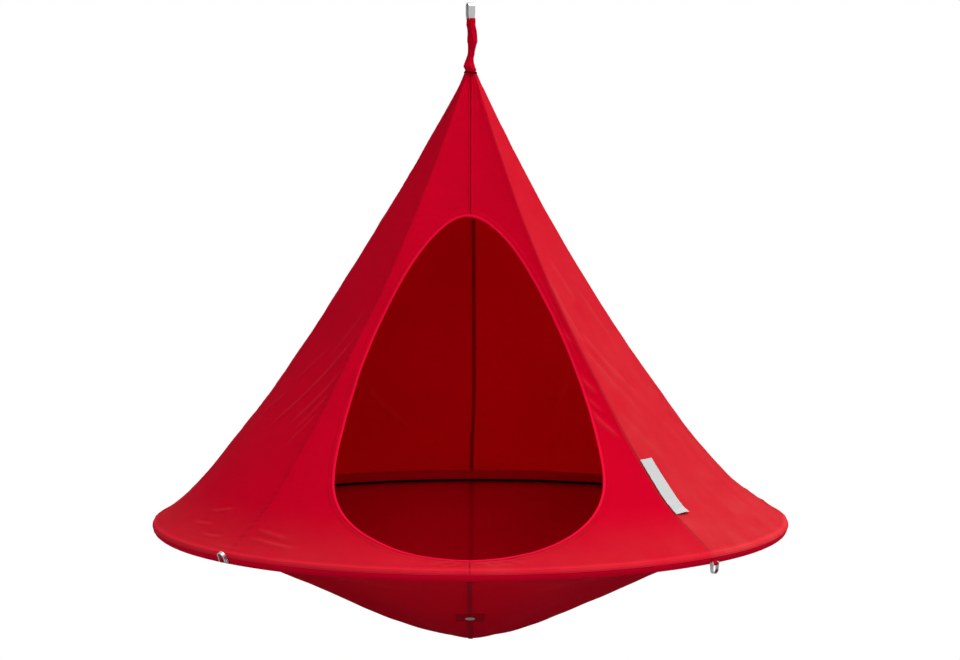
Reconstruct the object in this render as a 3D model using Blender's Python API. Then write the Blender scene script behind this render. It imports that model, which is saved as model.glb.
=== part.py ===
"""Cocoon hammock: a round hanging nest of cloth, held open by a ring of tubes.

Metres, +Z up, the doorway towards -Y. The origin is the point that the nest hangs from, on the
inner face of the top bow's crown. An azimuth is measured from the doorway towards +X.
"""
import math

import bmesh
import bpy
from mathutils import Matrix, Vector

# Clearances
GAP = 0.0003
LAYER_GAP = 0.0006
PIN_CLEARANCE = 0.00035

# Heights
CANOPY_HEIGHT = 1.061
BOWL_DEPTH = 0.2812
LOOP_LENGTH = 0.117

# Ring of tubes
RING_RADIUS = 0.7347
TUBE_RADIUS = 0.014
TUBE_WALL = 0.0016
RING_SECTIONS = 5
FIRST_JOINT = math.radians(36)
SPIGOT_LENGTH = 0.080
SPIGOT_WALL = 0.0015
SPIGOT_GAP = 0.0003

# Cloth
FABRIC = 0.0007
SLEEVE_EASE = 0.0006
TAPE_WIDTH = 0.013
TAPE_THICKNESS = 0.0012
TAPE_END = 0.020
FLAP_EASE = 0.0010
FASTENER_WIDTH = 0.012
FASTENER_THICKNESS = 0.0012

# Canopy: eight seams, the front one pulled in, flat between the seams higher up
SEAMS = 8
FRONT_PULL = 0.74
FLAT_START = 0.05
FLAT_SPAN = 0.45
NECK_RADIUS = 0.013
NECK_SLOPE = math.radians(77.5)
NECK_HANDLE = 0.04
RIM_SLOPE = math.radians(28.2)
RIM_HANDLE = 0.29
RIM_SEAM_ANGLE = math.radians(5)

# Bowl: four panels, drawn in between their seams
BOWL_PANELS = 4
BOWL_DRAW = 0.18
BOWL_DRAW_SPAN = 0.08
BOWL_SLOPE = math.radians(11.4)
BOWL_HANDLE = 0.2615
FOOT_HANDLE = 0.1738
FOOT_OPENING = 0.012
FOOT_PATCH = 0.035

# Doorway, on the front of the canopy, in heights above the ring's plane
DOOR_TOP = 0.7312
DOOR_FOOT = 0.0263
DOOR_HALF_WIDTH = 0.2949
DOOR_WIDEST = 0.1633
DOOR_TOP_HANDLE = 0.1207
DOOR_SIDE_HANDLE = 0.1423
DOOR_LOW_HANDLE = 0.1381
DOOR_FOOT_HANDLE = 0.0070
DOOR_TOP_SHARE = 0.21
BINDING_WIDTH = 0.004
BINDING_THICKNESS = 0.0009

# Label place and eyelet
LABEL_START = 1.021
LABEL_LENGTH = 0.150
LABEL_WIDTH = 0.048
LABEL_MARGIN = 0.002
EYELET_DISTANCE = 0.328
EYELET_PATCH = 0.066
EYELET_HOLE = 0.0042
EYELET_WALL = 0.0007
EYELET_FLANGE = 0.011
EYELET_RIM = 0.0008
EYELET_SEAT = 0.0012

# Top shackle, turned from the line of sight
PIN_TURN = math.radians(22.5)
BOW_INSIDE = 0.041
BOW_JAW = 0.014
BOW_STRIP = 0.003
BOW_WIDTH = 0.016
BOW_EYE = 0.006
BOW_SHOULDER = 0.014
TOP_PIN_RADIUS = 0.003
TOP_HEAD_RADIUS = 0.0045
TOP_HEAD_LENGTH = 0.0015
WEBBING_WIDTH = 0.012
WEBBING_THICKNESS = 0.0025
WEBBING_REACH = 0.115
SQUARE = 0.4
NECK_CORD = 0.0012

# Side shackles on webbing tabs, either side of the doorway
SIDE_AZIMUTH = math.radians(45)
SIDE_JAW = 0.016
SIDE_STRIP = 0.002
SIDE_WIDTH = 0.008
SIDE_EYE = 0.005
SIDE_SHOULDER = 0.006
SIDE_INSIDE = 0.0206
SIDE_PIN_RADIUS = 0.0025
SIDE_HEAD_RADIUS = 0.004
SIDE_HEAD_LENGTH = 0.002
SIDE_STANDOFF = 0.0008
TAB_WIDTH = 0.014
TAB_THICKNESS = 0.0015
LEFT_TAB_ANGLE = math.radians(-15.5)
LEFT_BOW_ANGLE = math.radians(62)
RIGHT_TAB_ANGLE = math.radians(-34)
RIGHT_BOW_ANGLE = math.radians(-90)

# How finely the cloth and the round pieces are cut
PANEL_STEPS = 5
UPPER_ROWS = (0.0, 0.0226, 0.09, 0.19, 0.30)
LOWER_ROWS = 7
BOWL_ROWS = (0.10, 0.22, 0.38, 0.56)
TUBE_SIDES = 8
PIN_SIDES = 16
CROWN_STEPS = 9

# Worked out from the sizes above
RING_Z = -(BOW_INSIDE + LOOP_LENGTH + CANOPY_HEIGHT)
SLEEVE_IN = TUBE_RADIUS + SLEEVE_EASE
SLEEVE_OUT = SLEEVE_IN + FABRIC
SPAN = 2 * math.pi / SEAMS
STATION = SPAN / PANEL_STEPS
TAPE_DEPTH = FABRIC + LAYER_GAP
TANGENT_ANGLE = math.pi / 2 - RIM_SLOPE
BOWL_ANGLE = BOWL_SLOPE - math.pi / 2
UP = Vector((0, 0, 1))


def radial(azimuth):
    """Unit vector away from the axis."""
    return Vector((math.sin(azimuth), -math.cos(azimuth), 0))


def sideways(azimuth):
    """Unit vector along the ring, towards greater azimuths."""
    return Vector((math.cos(azimuth), math.sin(azimuth), 0))


def smooth_step(value):
    value = min(1.0, max(0.0, value))
    return value * value * (3 - 2 * value)


def bezier(points, share):
    """Point of a cubic curve in a plane."""
    rest = 1 - share
    weights = (rest**3, 3 * rest**2 * share, 3 * rest * share**2, share**3)
    return [sum(w * p[axis] for w, p in zip(weights, points)) for axis in (0, 1)]


class Profile:
    """A cubic curve of radius and height, read by the length along it."""

    SAMPLES = 240

    def __init__(self, points):
        self.points = [bezier(points, i / self.SAMPLES) for i in range(self.SAMPLES + 1)]
        self.lengths = [0.0]
        for low, high in zip(self.points, self.points[1:]):
            self.lengths.append(self.lengths[-1] + math.dist(low, high))
        self.length = self.lengths[-1]

    def at(self, girth):
        """Radius, height and outward normal."""
        last = self.SAMPLES - 1
        index = next((i for i in range(last) if self.lengths[i + 1] >= girth), last)
        low, high = self.points[index], self.points[index + 1]
        step = self.lengths[index + 1] - self.lengths[index]
        part = (girth - self.lengths[index]) / step
        along = [(b - a) / step for a, b in zip(low, high)]
        place = [a + (b - a) * part for a, b in zip(low, high)]
        return place[0], place[1], -along[1], along[0]

    def girth_at_height(self, height):
        pairs = zip(self.points, self.points[1:], self.lengths, self.lengths[1:])
        for low, high, start, end in pairs:
            if (low[1] - height) * (high[1] - height) <= 0 and low[1] != high[1]:
                return start + (end - start) * (height - low[1]) / (high[1] - low[1])
        raise ValueError("no such height on this profile")

    def girth_at_radius(self, radius):
        pairs = zip(self.points, self.points[1:], self.lengths, self.lengths[1:])
        for low, high, start, end in pairs:
            if (low[0] - radius) * (high[0] - radius) <= 0 and low[0] != high[0]:
                return start + (end - start) * (radius - low[0]) / (high[0] - low[0])
        raise ValueError("no such radius on this profile")


def sleeve_point(angle, radius):
    """Radius and height of a point round the tube's centre line."""
    return RING_RADIUS + radius * math.cos(angle), radius * math.sin(angle)


class Canopy:
    """The wall above the ring, which ends by going round the sleeve."""

    def __init__(self):
        start = (NECK_RADIUS, CANOPY_HEIGHT)
        end = sleeve_point(TANGENT_ANGLE, SLEEVE_OUT)
        top = (start[0] + NECK_HANDLE * math.cos(NECK_SLOPE), start[1] - NECK_HANDLE * math.sin(NECK_SLOPE))
        low = (end[0] - RIM_HANDLE * math.cos(RIM_SLOPE), end[1] + RIM_HANDLE * math.sin(RIM_SLOPE))
        self.profile = Profile((start, top, low, end))
        self.length = self.profile.length
        self.full_length = self.length + SLEEVE_OUT * (TANGENT_ANGLE - RIM_SEAM_ANGLE)

    def at(self, girth):
        if girth <= self.length:
            return self.profile.at(girth)
        angle = TANGENT_ANGLE - (girth - self.length) / SLEEVE_OUT
        radius, height = sleeve_point(angle, SLEEVE_OUT)
        return radius, height, math.cos(angle), math.sin(angle)

    def plan(self, azimuth, height):
        """Reach at an azimuth as a share of the seams' radius: round low down, flat higher up."""
        flat = smooth_step((height - FLAT_START) / FLAT_SPAN)
        seam = math.floor(azimuth / SPAN + 1e-9)
        start, end = (FRONT_PULL if number % SEAMS == 0 else 1.0 for number in (seam, seam + 1))
        part = azimuth - seam * SPAN
        chord = start * end * math.sin(SPAN) / (start * math.sin(part) + end * math.sin(SPAN - part))
        return 1 + flat * (chord - 1)


class Bowl:
    """The wall below the ring, from the sleeve's underside to the foot."""

    def __init__(self):
        start = sleeve_point(BOWL_ANGLE, SLEEVE_OUT)
        low = (start[0] - BOWL_HANDLE * math.cos(BOWL_SLOPE), start[1] - BOWL_HANDLE * math.sin(BOWL_SLOPE))
        self.profile = Profile((start, low, (FOOT_HANDLE, -BOWL_DEPTH), (0, -BOWL_DEPTH)))
        self.start_height = start[1]
        self.length = self.profile.length

    def at(self, girth):
        return self.profile.at(girth)

    def plan(self, azimuth, height):
        """Reach at an azimuth as a share of the seams' radius: drawn in between the seams."""
        drawn = smooth_step((self.start_height - height) / BOWL_DRAW_SPAN)
        return 1 - BOWL_DRAW * drawn * math.sin(azimuth * BOWL_PANELS / 2) ** 2


CANOPY = Canopy()
BOWL = Bowl()


def wall_point(wall, azimuth, girth, depth):
    """Point of a wall, a depth in from its outer face."""
    radius, height, normal_out, normal_up = wall.at(girth)
    reach = radius * wall.plan(azimuth, height)
    out = radial(azimuth) * (reach - depth * normal_out)
    return out + UP * (RING_Z + height - depth * normal_up)


def tape_turn(wall, girth, seam, side):
    """Azimuth from a seam to the edge of its tape, on one side."""
    centre = wall_point(wall, seam, girth, 0)
    low, high = 0.0, SPAN * 0.42
    for _ in range(30):
        middle = (low + high) / 2
        reach = (wall_point(wall, seam + side * middle, girth, 0) - centre).length
        low, high = (middle, high) if reach < TAPE_WIDTH / 2 else (low, middle)
    return low


def columns(wall, girth, start, end):
    """Azimuths across a panel: seam, tape's edge, even steps, tape's edge, seam."""
    near = tape_turn(wall, girth, start, 1)
    far = tape_turn(wall, girth, end, -1)
    steps = round((end - start) / STATION)
    wide = end - start
    ring_turn = TAPE_WIDTH / 2 / (RING_RADIUS + SLEEVE_OUT)
    shares = [(STATION * i - ring_turn) / (wide - 2 * ring_turn) for i in range(1, steps)]
    inner = [start + near + (wide - near - far) * share for share in shares]
    return [start, start + near, *inner, end - far, end]


class Sheet:
    """A piece with an outer and an inner face over the same cells, walled along its free edges."""

    def __init__(self):
        self.outer = []
        self.inner = []
        self.triangles = []

    def add(self, outer, inner):
        self.outer.append(outer)
        self.inner.append(inner)
        return len(self.outer) - 1

    def cells(self, grid, closed=False, mirrored=False):
        """Cells between rows of numbers that add() gave, each cut along a diagonal."""
        for low, high in zip(grid, grid[1:]):
            if closed:
                low, high = [*low, low[0]], [*high, high[0]]
            for a, b, c, d in zip(low, low[1:], high[1:], high):
                if mirrored:
                    self.triangles += [(a, b, d), (b, c, d)]
                else:
                    self.triangles += [(a, b, c), (a, c, d)]

    def mesh(self):
        shift = len(self.outer)
        edges = {(t[i], t[(i + 1) % 3]) for t in self.triangles for i in range(3)}
        faces = list(self.triangles)
        faces += [tuple(number + shift for number in reversed(t)) for t in self.triangles]
        for a, b in sorted(edge for edge in edges if edge[::-1] not in edges):
            faces += [(b, a, a + shift), (b, a + shift, b + shift)]
        return self.outer + self.inner, faces


MATERIALS = {}


def material(name, colour, roughness, metallic=0.0):
    made = bpy.data.materials.new(name)
    made.use_nodes = True
    shader = made.node_tree.nodes["Principled BSDF"]
    shader.inputs["Base Color"].default_value = (*colour, 1)
    shader.inputs["Roughness"].default_value = roughness
    shader.inputs["Metallic"].default_value = metallic
    made.diffuse_color = (*colour, 1)
    MATERIALS[name] = made


def add_object(name, mesh, finish, smooth=30):
    """A named sub-part with its finish, shaded smooth over soft edges."""
    mesh.materials.append(MATERIALS[finish])
    mesh.shade_smooth()
    mesh.set_sharp_from_angle(angle=math.radians(smooth))
    piece = bpy.data.objects.new(name, mesh)
    bpy.context.scene.collection.objects.link(piece)
    return piece


def from_points(name, points, faces, finish):
    """A closed solid from its corners and faces, turned to face out."""
    model = bmesh.new()
    corners = [model.verts.new(point) for point in points]
    for face in faces:
        model.faces.new([corners[number] for number in face])
    if model.calc_volume(signed=True) < 0:
        bmesh.ops.reverse_faces(model, faces=model.faces)
    mesh = bpy.data.meshes.new(name)
    model.to_mesh(mesh)
    model.free()
    return add_object(name, mesh, finish)


def from_sheet(name, sheet, finish):
    return from_points(name, *sheet.mesh(), finish)


def loft(name, sections, finish):
    """A bar through sections with equal numbers of corners, closed at both ends."""
    count = len(sections[0])
    points = [point for section in sections for point in section]
    faces = [tuple(range(count)), tuple(len(points) - 1 - i for i in range(count))]
    for row in range(len(sections) - 1):
        for i in range(count):
            a, b = row * count + i, row * count + (i + 1) % count
            faces.append((b, a, a + count, b + count))
    return from_points(name, points, faces, finish)


def turned(name, profile, sides, finish, closed=False):
    """A profile of places along the X axis and radii, spun round that axis."""
    model = bmesh.new()
    corners = [model.verts.new((along, radius, 0)) for along, radius in profile]
    pairs = list(zip(corners, corners[1:]))
    if closed:
        pairs.append((corners[-1], corners[0]))
    edges = [model.edges.new(pair) for pair in pairs]
    bmesh.ops.spin(
        model, geom=corners + edges, axis=(1, 0, 0), cent=(0, 0, 0), angle=2 * math.pi, steps=sides,
        use_merge=True,
    )
    bmesh.ops.remove_doubles(model, verts=model.verts, dist=1e-6)
    bmesh.ops.recalc_face_normals(model, faces=model.faces)
    mesh = bpy.data.meshes.new(name)
    model.to_mesh(mesh)
    model.free()
    return add_object(name, mesh, finish)


def cut(piece, cutter):
    """Take the cutter's shape out of a piece."""
    step = piece.modifiers.new("hole", "BOOLEAN")
    step.operation = "DIFFERENCE"
    step.solver = "EXACT"
    step.object = cutter


def cutter(name, radius, length, place):
    """A hidden drill along its own X axis."""
    profile = [(-length / 2, 0), (-length / 2, radius), (length / 2, radius), (length / 2, 0)]
    drill = turned(name, profile, PIN_SIDES, "steel")
    drill.matrix_world = place
    drill.hide_render = True
    drill.display_type = "WIRE"
    return drill


def place_of(centre, x_axis, z_axis):
    """Matrix that puts a piece at a centre, with its own X and Z along these."""
    turn = Matrix((x_axis, z_axis.cross(x_axis), z_axis)).transposed()
    return Matrix.Translation(centre) @ turn.to_4x4()


def ride(piece, carrier):
    """Parent a piece where it lies."""
    bpy.context.view_layer.update()
    piece.parent = carrier
    piece.matrix_parent_inverse = carrier.matrix_world.inverted()


def seam_row(wall, girth, azimuths, depth, thick, sheet, edges=(1, 1)):
    """A row of a panel, with its ends drawn back from the seams by half the gap."""
    numbers = []
    for column, azimuth in enumerate(azimuths):
        shift = Vector((0, 0, 0))
        if column == 0 and edges[0]:
            shift = sideways(azimuth) * GAP / 2
        if column == len(azimuths) - 1 and edges[1]:
            shift = -sideways(azimuth) * GAP / 2
        outer = wall_point(wall, azimuth, girth, depth) + shift
        inner = wall_point(wall, azimuth, girth, depth + thick) + shift
        numbers.append(sheet.add(outer, inner))
    return numbers


def canopy_rows():
    """Lengths from the knot at which the canopy's cells meet."""
    last = CANOPY.length - TAPE_END
    start = UPPER_ROWS[-1]
    lower = [start + (last - start) * i / LOWER_ROWS for i in range(1, LOWER_ROWS + 1)]
    return [*UPPER_ROWS, *lower, CANOPY.length]


def wrap_rows():
    """Lengths at which the canopy's cells meet round the sleeve."""
    wrap = CANOPY.full_length - CANOPY.length
    return [CANOPY.length + wrap * i / 3 for i in (1, 2, 3)]


def canopy_panel(name, number):
    """A whole panel between two seams."""
    sheet = Sheet()
    start, end = number * SPAN, (number + 1) * SPAN
    grid = [
        seam_row(CANOPY, girth, columns(CANOPY, girth, start, end), 0, FABRIC, sheet)
        for girth in canopy_rows() + wrap_rows()
    ]
    sheet.cells(grid)
    return from_sheet(name, sheet, "canopy_cloth")


def door_curves():
    """Half outline of the doorway as two cubic curves of half width and height."""
    widest = (DOOR_HALF_WIDTH, DOOR_WIDEST)
    upper = (
        (0, DOOR_TOP),
        (DOOR_TOP_HANDLE, DOOR_TOP),
        (DOOR_HALF_WIDTH, DOOR_WIDEST + DOOR_SIDE_HANDLE),
        widest,
    )
    lower = (
        widest,
        (DOOR_HALF_WIDTH, DOOR_WIDEST - DOOR_LOW_HANDLE),
        (DOOR_FOOT_HANDLE, DOOR_FOOT),
        (0, DOOR_FOOT),
    )
    return Profile(upper), Profile(lower)


def front_place(width, height):
    """Azimuth and length from the knot of a point on the right front panel."""
    girth = CANOPY.profile.girth_at_height(height)
    low, high = 0.0, SPAN
    for _ in range(40):
        middle = (low + high) / 2
        reach = wall_point(CANOPY, middle, girth, 0).x
        low, high = (middle, high) if reach < width else (low, middle)
    return low, girth


def door_places():
    """Where the front panels' spokes start on the doorway's edge, from its top to its foot."""
    upper, lower = door_curves()
    shares = [0.0, TAPE_WIDTH / 2 / upper.length]
    shares += [DOOR_TOP_SHARE * i / 3 for i in (1, 2, 3)]
    shares += [DOOR_TOP_SHARE + (1 - DOOR_TOP_SHARE) * i / (LOWER_ROWS + 1) for i in range(1, LOWER_ROWS + 2)]
    places = [front_place(*upper.at(upper.length * share)[:2]) for share in shares]
    places += [front_place(*lower.at(lower.length * i / PANEL_STEPS)[:2]) for i in range(1, PANEL_STEPS + 1)]
    places[-1] = (0.0, places[-1][1])
    return places


def front_spokes():
    """Cells' corners from the doorway's edge out to the tape's line and the sleeve."""
    rows = canopy_rows()
    top = rows.index(UPPER_ROWS[-1])
    near_seam = {girth: SPAN - tape_turn(CANOPY, girth, SPAN, -1) for girth in rows[top:]}
    across = columns(CANOPY, rows[top], 0, SPAN)
    ends = [(across[i], rows[top]) for i in (0, 1, 3, 4, len(across) - 2)]
    ends += [(near_seam[girth], girth) for girth in rows[top + 1:]]
    ends += [(STATION * i, CANOPY.length) for i in range(PANEL_STEPS - 1, -1, -1)]
    spokes = []
    for door, end in zip(door_places(), ends):
        start_point, end_point = (wall_point(CANOPY, *place, 0) for place in (door, end))
        hem = (TAPE_WIDTH / 2) / (end_point - start_point).length
        shares = (0, hem, (1 + hem) / 2, 1)
        spokes.append([tuple(a + (b - a) * share for a, b in zip(door, end)) for share in shares])
    return spokes


def front_panel(name, side):
    """A panel beside the doorway: whole above it, and spokes round it."""
    sheet = Sheet()
    rows = canopy_rows()
    top = rows.index(UPPER_ROWS[-1])

    def corner(azimuth, girth):
        shift = Vector((0, 0, 0))
        if azimuth < 1e-6:
            shift = sideways(0) * GAP / 2
        if azimuth > SPAN - 1e-6:
            shift = -sideways(SPAN) * GAP / 2
        points = [wall_point(CANOPY, azimuth, girth, depth) + shift for depth in (0, FABRIC)]
        for point in points:
            point.x *= side
        return sheet.add(*points)

    above = []
    for girth in rows[:top + 1]:
        across = columns(CANOPY, girth, 0, SPAN)
        above.append([corner(across[i], girth) for i in (0, 1, 3, 4, len(across) - 2, len(across) - 1)])
    sheet.cells(above, mirrored=side < 0)

    band = []
    for number, spoke in enumerate(front_spokes()):
        inner_corners = [corner(*place) for place in spoke[:-1]]
        end = above[-1][number] if number < 5 else corner(*spoke[-1])
        band.append([*inner_corners, end])
    sheet.cells(band)

    seam = [above[-1][-1], *(corner(SPAN, girth) for girth in rows[top + 1:])]
    tape_line = [spoke[-1] for spoke in band[4:4 + len(seam)]]
    sheet.cells(list(zip(tape_line, seam)), mirrored=side < 0)

    rim = [seam[-1], *(spoke[-1] for spoke in band[3 + len(seam):])]
    azimuths = [SPAN, SPAN - tape_turn(CANOPY, CANOPY.length, SPAN, -1)]
    azimuths += [STATION * i for i in range(PANEL_STEPS - 1, -1, -1)]
    wrap = [rim, *([corner(azimuth, girth) for azimuth in azimuths] for girth in wrap_rows())]
    sheet.cells([list(reversed(row)) for row in wrap])
    return from_sheet(name, sheet, "canopy_cloth")


def tape_sheet(wall, seam, girths, depth, thick):
    """A strip centred on a seam, in line with the panels' own cells."""
    sheet = Sheet()
    grid = []
    for girth in girths:
        turns = (-tape_turn(wall, girth, seam, -1), 0, tape_turn(wall, girth, seam, 1))
        azimuths = [seam + turn for turn in turns]
        grid.append(seam_row(wall, girth, azimuths, depth, thick, sheet, (0, 0)))
    sheet.cells(grid)
    return sheet


def canopy_tape(name, number):
    """A tape inside a seam, from under the knot to above the ring."""
    if number == 0:
        spokes = front_spokes()
        girths = [*UPPER_ROWS[1:], spokes[0][2][1]]
    else:
        girths = canopy_rows()[1:-1]
    sheet = tape_sheet(CANOPY, number * SPAN + 2 * math.pi, girths, TAPE_DEPTH, TAPE_THICKNESS)
    return from_sheet(name, sheet, "tape")


def bowl_rows():
    """Lengths from the sleeve at which the bowl's cells meet."""
    foot = [BOWL.profile.girth_at_radius(radius) for radius in (FOOT_PATCH, FOOT_OPENING)]
    start = fastener_start()
    return [3 * GAP, start, start + FASTENER_WIDTH, *BOWL_ROWS, *foot]


def flap_radius():
    return SLEEVE_OUT + FLAP_EASE


def flap_end_turn():
    """Turn beyond a wall's tangent point at which the flap's edge clears the wall's inner face."""
    return math.acos(SLEEVE_IN / (flap_radius() + LAYER_GAP))


def fastener_start():
    """Length down the bowl at which the fastener strip starts, beside the flap's foot."""
    foot_angle = BOWL_ANGLE - flap_end_turn()
    tangent = sleeve_point(BOWL_ANGLE, SLEEVE_OUT)
    foot = sleeve_point(foot_angle, flap_radius())
    return (tangent[0] - foot[0]) / math.cos(BOWL_SLOPE) + 3 * GAP


def floor_panel(name, number):
    sheet = Sheet()
    wide = 2 * math.pi / BOWL_PANELS
    start, end = number * wide, (number + 1) * wide
    grid = [
        seam_row(BOWL, girth, columns(BOWL, girth, start, end), 0, FABRIC, sheet) for girth in bowl_rows()
    ]
    sheet.cells(grid)
    return from_sheet(name, sheet, "floor_cloth")


def floor_tape(name, number):
    """A tape over a floor seam, outside, from the sleeve to the foot's patch."""
    rows = bowl_rows()
    last = BOWL.profile.girth_at_radius(FOOT_PATCH + 3 * GAP)
    seam = number * 2 * math.pi / BOWL_PANELS + 2 * math.pi
    depth = -LAYER_GAP - TAPE_THICKNESS
    sheet = tape_sheet(BOWL, seam, [*rows[1:-2], last], depth, TAPE_THICKNESS)
    return from_sheet(name, sheet, "tape")


def foot_patch():
    """The patch under the foot, where the floor panels meet."""
    sheet = Sheet()
    grid = []
    for radius in (FOOT_PATCH, FOOT_OPENING):
        girth = BOWL.profile.girth_at_radius(radius)
        azimuths = [2 * STATION * i for i in range(int(math.pi / STATION))]
        depth = -LAYER_GAP - FABRIC
        points = [[wall_point(BOWL, azimuth, girth, d) for d in (depth, depth + FABRIC)] for azimuth in azimuths]
        grid.append([sheet.add(*pair) for pair in points])
    sheet.cells(grid, closed=True)
    bottom = RING_Z - BOWL_DEPTH - LAYER_GAP
    middle = sheet.add(Vector((0, 0, bottom - FABRIC)), Vector((0, 0, bottom)))
    ring = grid[-1]
    for a, b in zip(ring, [*ring[1:], ring[0]]):
        sheet.triangles.append((a, b, middle))
    return from_sheet("foot_patch", sheet, "tape")


def round_sheet(name, angles, radius, thick, finish):
    """A band round the ring, through angles about the tube's centre line."""
    sheet = Sheet()
    grid = []
    for angle in angles:
        row = []
        for number in range(SEAMS * PANEL_STEPS):
            azimuth = number * STATION
            ends = [sleeve_point(angle, r) for r in (radius, radius - thick)]
            row.append(sheet.add(*(radial(azimuth) * r + UP * (RING_Z + h) for r, h in ends)))
        grid.append(row)
    sheet.cells(grid, closed=True)
    return from_sheet(name, sheet, finish)


def even(start, end, steps):
    return [start + (end - start) * i / steps for i in range(steps + 1)]


def rim_band():
    """The outer band of the sleeve, from the canopy's hem to the floor."""
    margin = GAP / SLEEVE_OUT
    angles = even(RIM_SEAM_ANGLE - margin, BOWL_ANGLE + margin / 2, 4)
    return round_sheet("rim_band", angles, SLEEVE_OUT, FABRIC, "canopy_cloth")


def ring_flap():
    """The inner flap that closes over the tubes."""
    turn = flap_end_turn()
    angles = even(TANGENT_ANGLE + turn, BOWL_ANGLE - turn + 2 * math.pi, 4)
    return round_sheet("ring_flap", angles, flap_radius(), FABRIC, "floor_cloth")


def flap_fastener():
    """The dark strip on the floor that the flap's foot closes on."""
    sheet = Sheet()
    start = fastener_start()
    grid = []
    for girth in (start, start + FASTENER_WIDTH):
        row = []
        for number in range(SEAMS * PANEL_STEPS):
            azimuth = number * STATION
            depths = (TAPE_DEPTH, TAPE_DEPTH + FASTENER_THICKNESS)
            row.append(sheet.add(*(wall_point(BOWL, azimuth, girth, depth) for depth in depths)))
        grid.append(row)
    sheet.cells(grid, closed=True)
    return from_sheet("flap_fastener", sheet, "fastener")


def tube_loop(azimuth, radius):
    """Corners of a tube's section at an azimuth."""
    loop = []
    for i in range(TUBE_SIDES):
        reach, height = sleeve_point(2 * math.pi * i / TUBE_SIDES, radius)
        loop.append(radial(azimuth) * reach + UP * (RING_Z + height))
    return loop


def tube_of_loops(name, outer_loops, inner_loops, finish):
    sheet = Sheet()
    grid = [
        [sheet.add(a, b) for a, b in zip(outer, inner)] for outer, inner in zip(outer_loops, inner_loops)
    ]
    sheet.cells(grid, closed=True)
    return from_sheet(name, sheet, finish)


def ring_tube(number):
    """One bent tube of the ring, between two joints."""
    steps = SEAMS * PANEL_STEPS // RING_SECTIONS
    start = FIRST_JOINT + number * 2 * math.pi / RING_SECTIONS
    azimuths = [start + STATION * i for i in range(steps + 1)]
    loops = []
    for radius in (TUBE_RADIUS, TUBE_RADIUS - TUBE_WALL):
        rows = [tube_loop(azimuth, radius) for azimuth in azimuths]
        rows[0] = [point + sideways(azimuths[0]) * GAP / 2 for point in rows[0]]
        rows[-1] = [point - sideways(azimuths[-1]) * GAP / 2 for point in rows[-1]]
        loops.append(rows)
    return tube_of_loops(f"ring_tube_{number + 1}", *loops, "tube")


def ring_spigot(number):
    """The push-in sleeve that lines up two tubes."""
    joint = FIRST_JOINT + number * 2 * math.pi / RING_SECTIONS
    outer = TUBE_RADIUS - TUBE_WALL - SPIGOT_GAP
    share = SPIGOT_LENGTH / 2 / (2 * RING_RADIUS * math.sin(STATION / 2))
    loops = []
    for radius in (outer, outer - SPIGOT_WALL):
        middle = tube_loop(joint, radius)
        ends = [tube_loop(joint + side * STATION, radius) for side in (-1, 1)]
        first, last = ([a.lerp(b, share) for a, b in zip(middle, end)] for end in ends)
        loops.append([first, middle, last])
    return tube_of_loops(f"ring_spigot_{number + 1}", *loops, "tube")


def door_binding():
    """The folded edge round the doorway, over both faces of the cloth."""
    spokes = front_spokes()
    reach, thick, gap = BINDING_WIDTH, BINDING_THICKNESS, LAYER_GAP
    section = [
        (reach, -gap - thick),
        (-gap - thick, -gap - thick),
        (-gap - thick, FABRIC + gap + thick),
        (reach, FABRIC + gap + thick),
        (reach, FABRIC + gap),
        (-gap, FABRIC + gap),
        (-gap, -gap),
        (reach, -gap),
    ]
    right = []
    for number, spoke in enumerate(spokes):
        edge = wall_point(CANOPY, *spoke[0], 0)
        inward = (wall_point(CANOPY, *spoke[1], 0) - edge).normalized()
        across = (wall_point(CANOPY, *spoke[0], FABRIC) - edge) / FABRIC
        if number in (0, len(spokes) - 1):
            edge.x = inward.x = across.x = 0
        right.append([edge + inward * a + across * b for a, b in section])
    left = [[Vector((-p.x, p.y, p.z)) for p in loop] for loop in reversed(right[1:-1])]
    loops = right + left
    count = len(section)
    points = [point for loop in loops for point in loop]
    faces = []
    for row in range(len(loops)):
        following = (row + 1) % len(loops)
        for i in range(count):
            j = (i + 1) % count
            a, b = row * count + i, row * count + j
            c, d = following * count + j, following * count + i
            faces += [(a, b, c), (a, c, d)]
    return from_points("door_binding", points, faces, "binding")


def on_facets(wall, rows, girth, seam, distance, depth):
    """Point on a wall's cells, a distance from a seam along a row, a depth in."""
    last = len(rows) - 2
    index = next((i for i in range(last) if rows[i + 1] >= girth), last)
    down = (girth - rows[index]) / (rows[index + 1] - rows[index])
    side = 1 if distance >= 0 else -1
    corners = []
    for row in rows[index:index + 2]:
        stops = (0, tape_turn(wall, row, seam, side), STATION, 2 * STATION)
        corners.append([wall_point(wall, seam + side * stop, row, depth) for stop in stops])
    left = abs(distance)
    for column in range(3):
        ends = [(row[column], row[column + 1]) for row in corners]
        length = (ends[0][1] - ends[0][0]).length * (1 - down) + (ends[1][1] - ends[1][0]).length * down
        if left <= length or column == 2:
            break
        left -= length
    over = left / length
    if side < 0:
        ends = [pair[::-1] for pair in ends]
        over = 1 - over
    (a, b), (d, c) = ends
    if over >= down:
        return a + (b - a) * over + (c - b) * down
    return a + (d - a) * down + (c - d) * over


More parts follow.
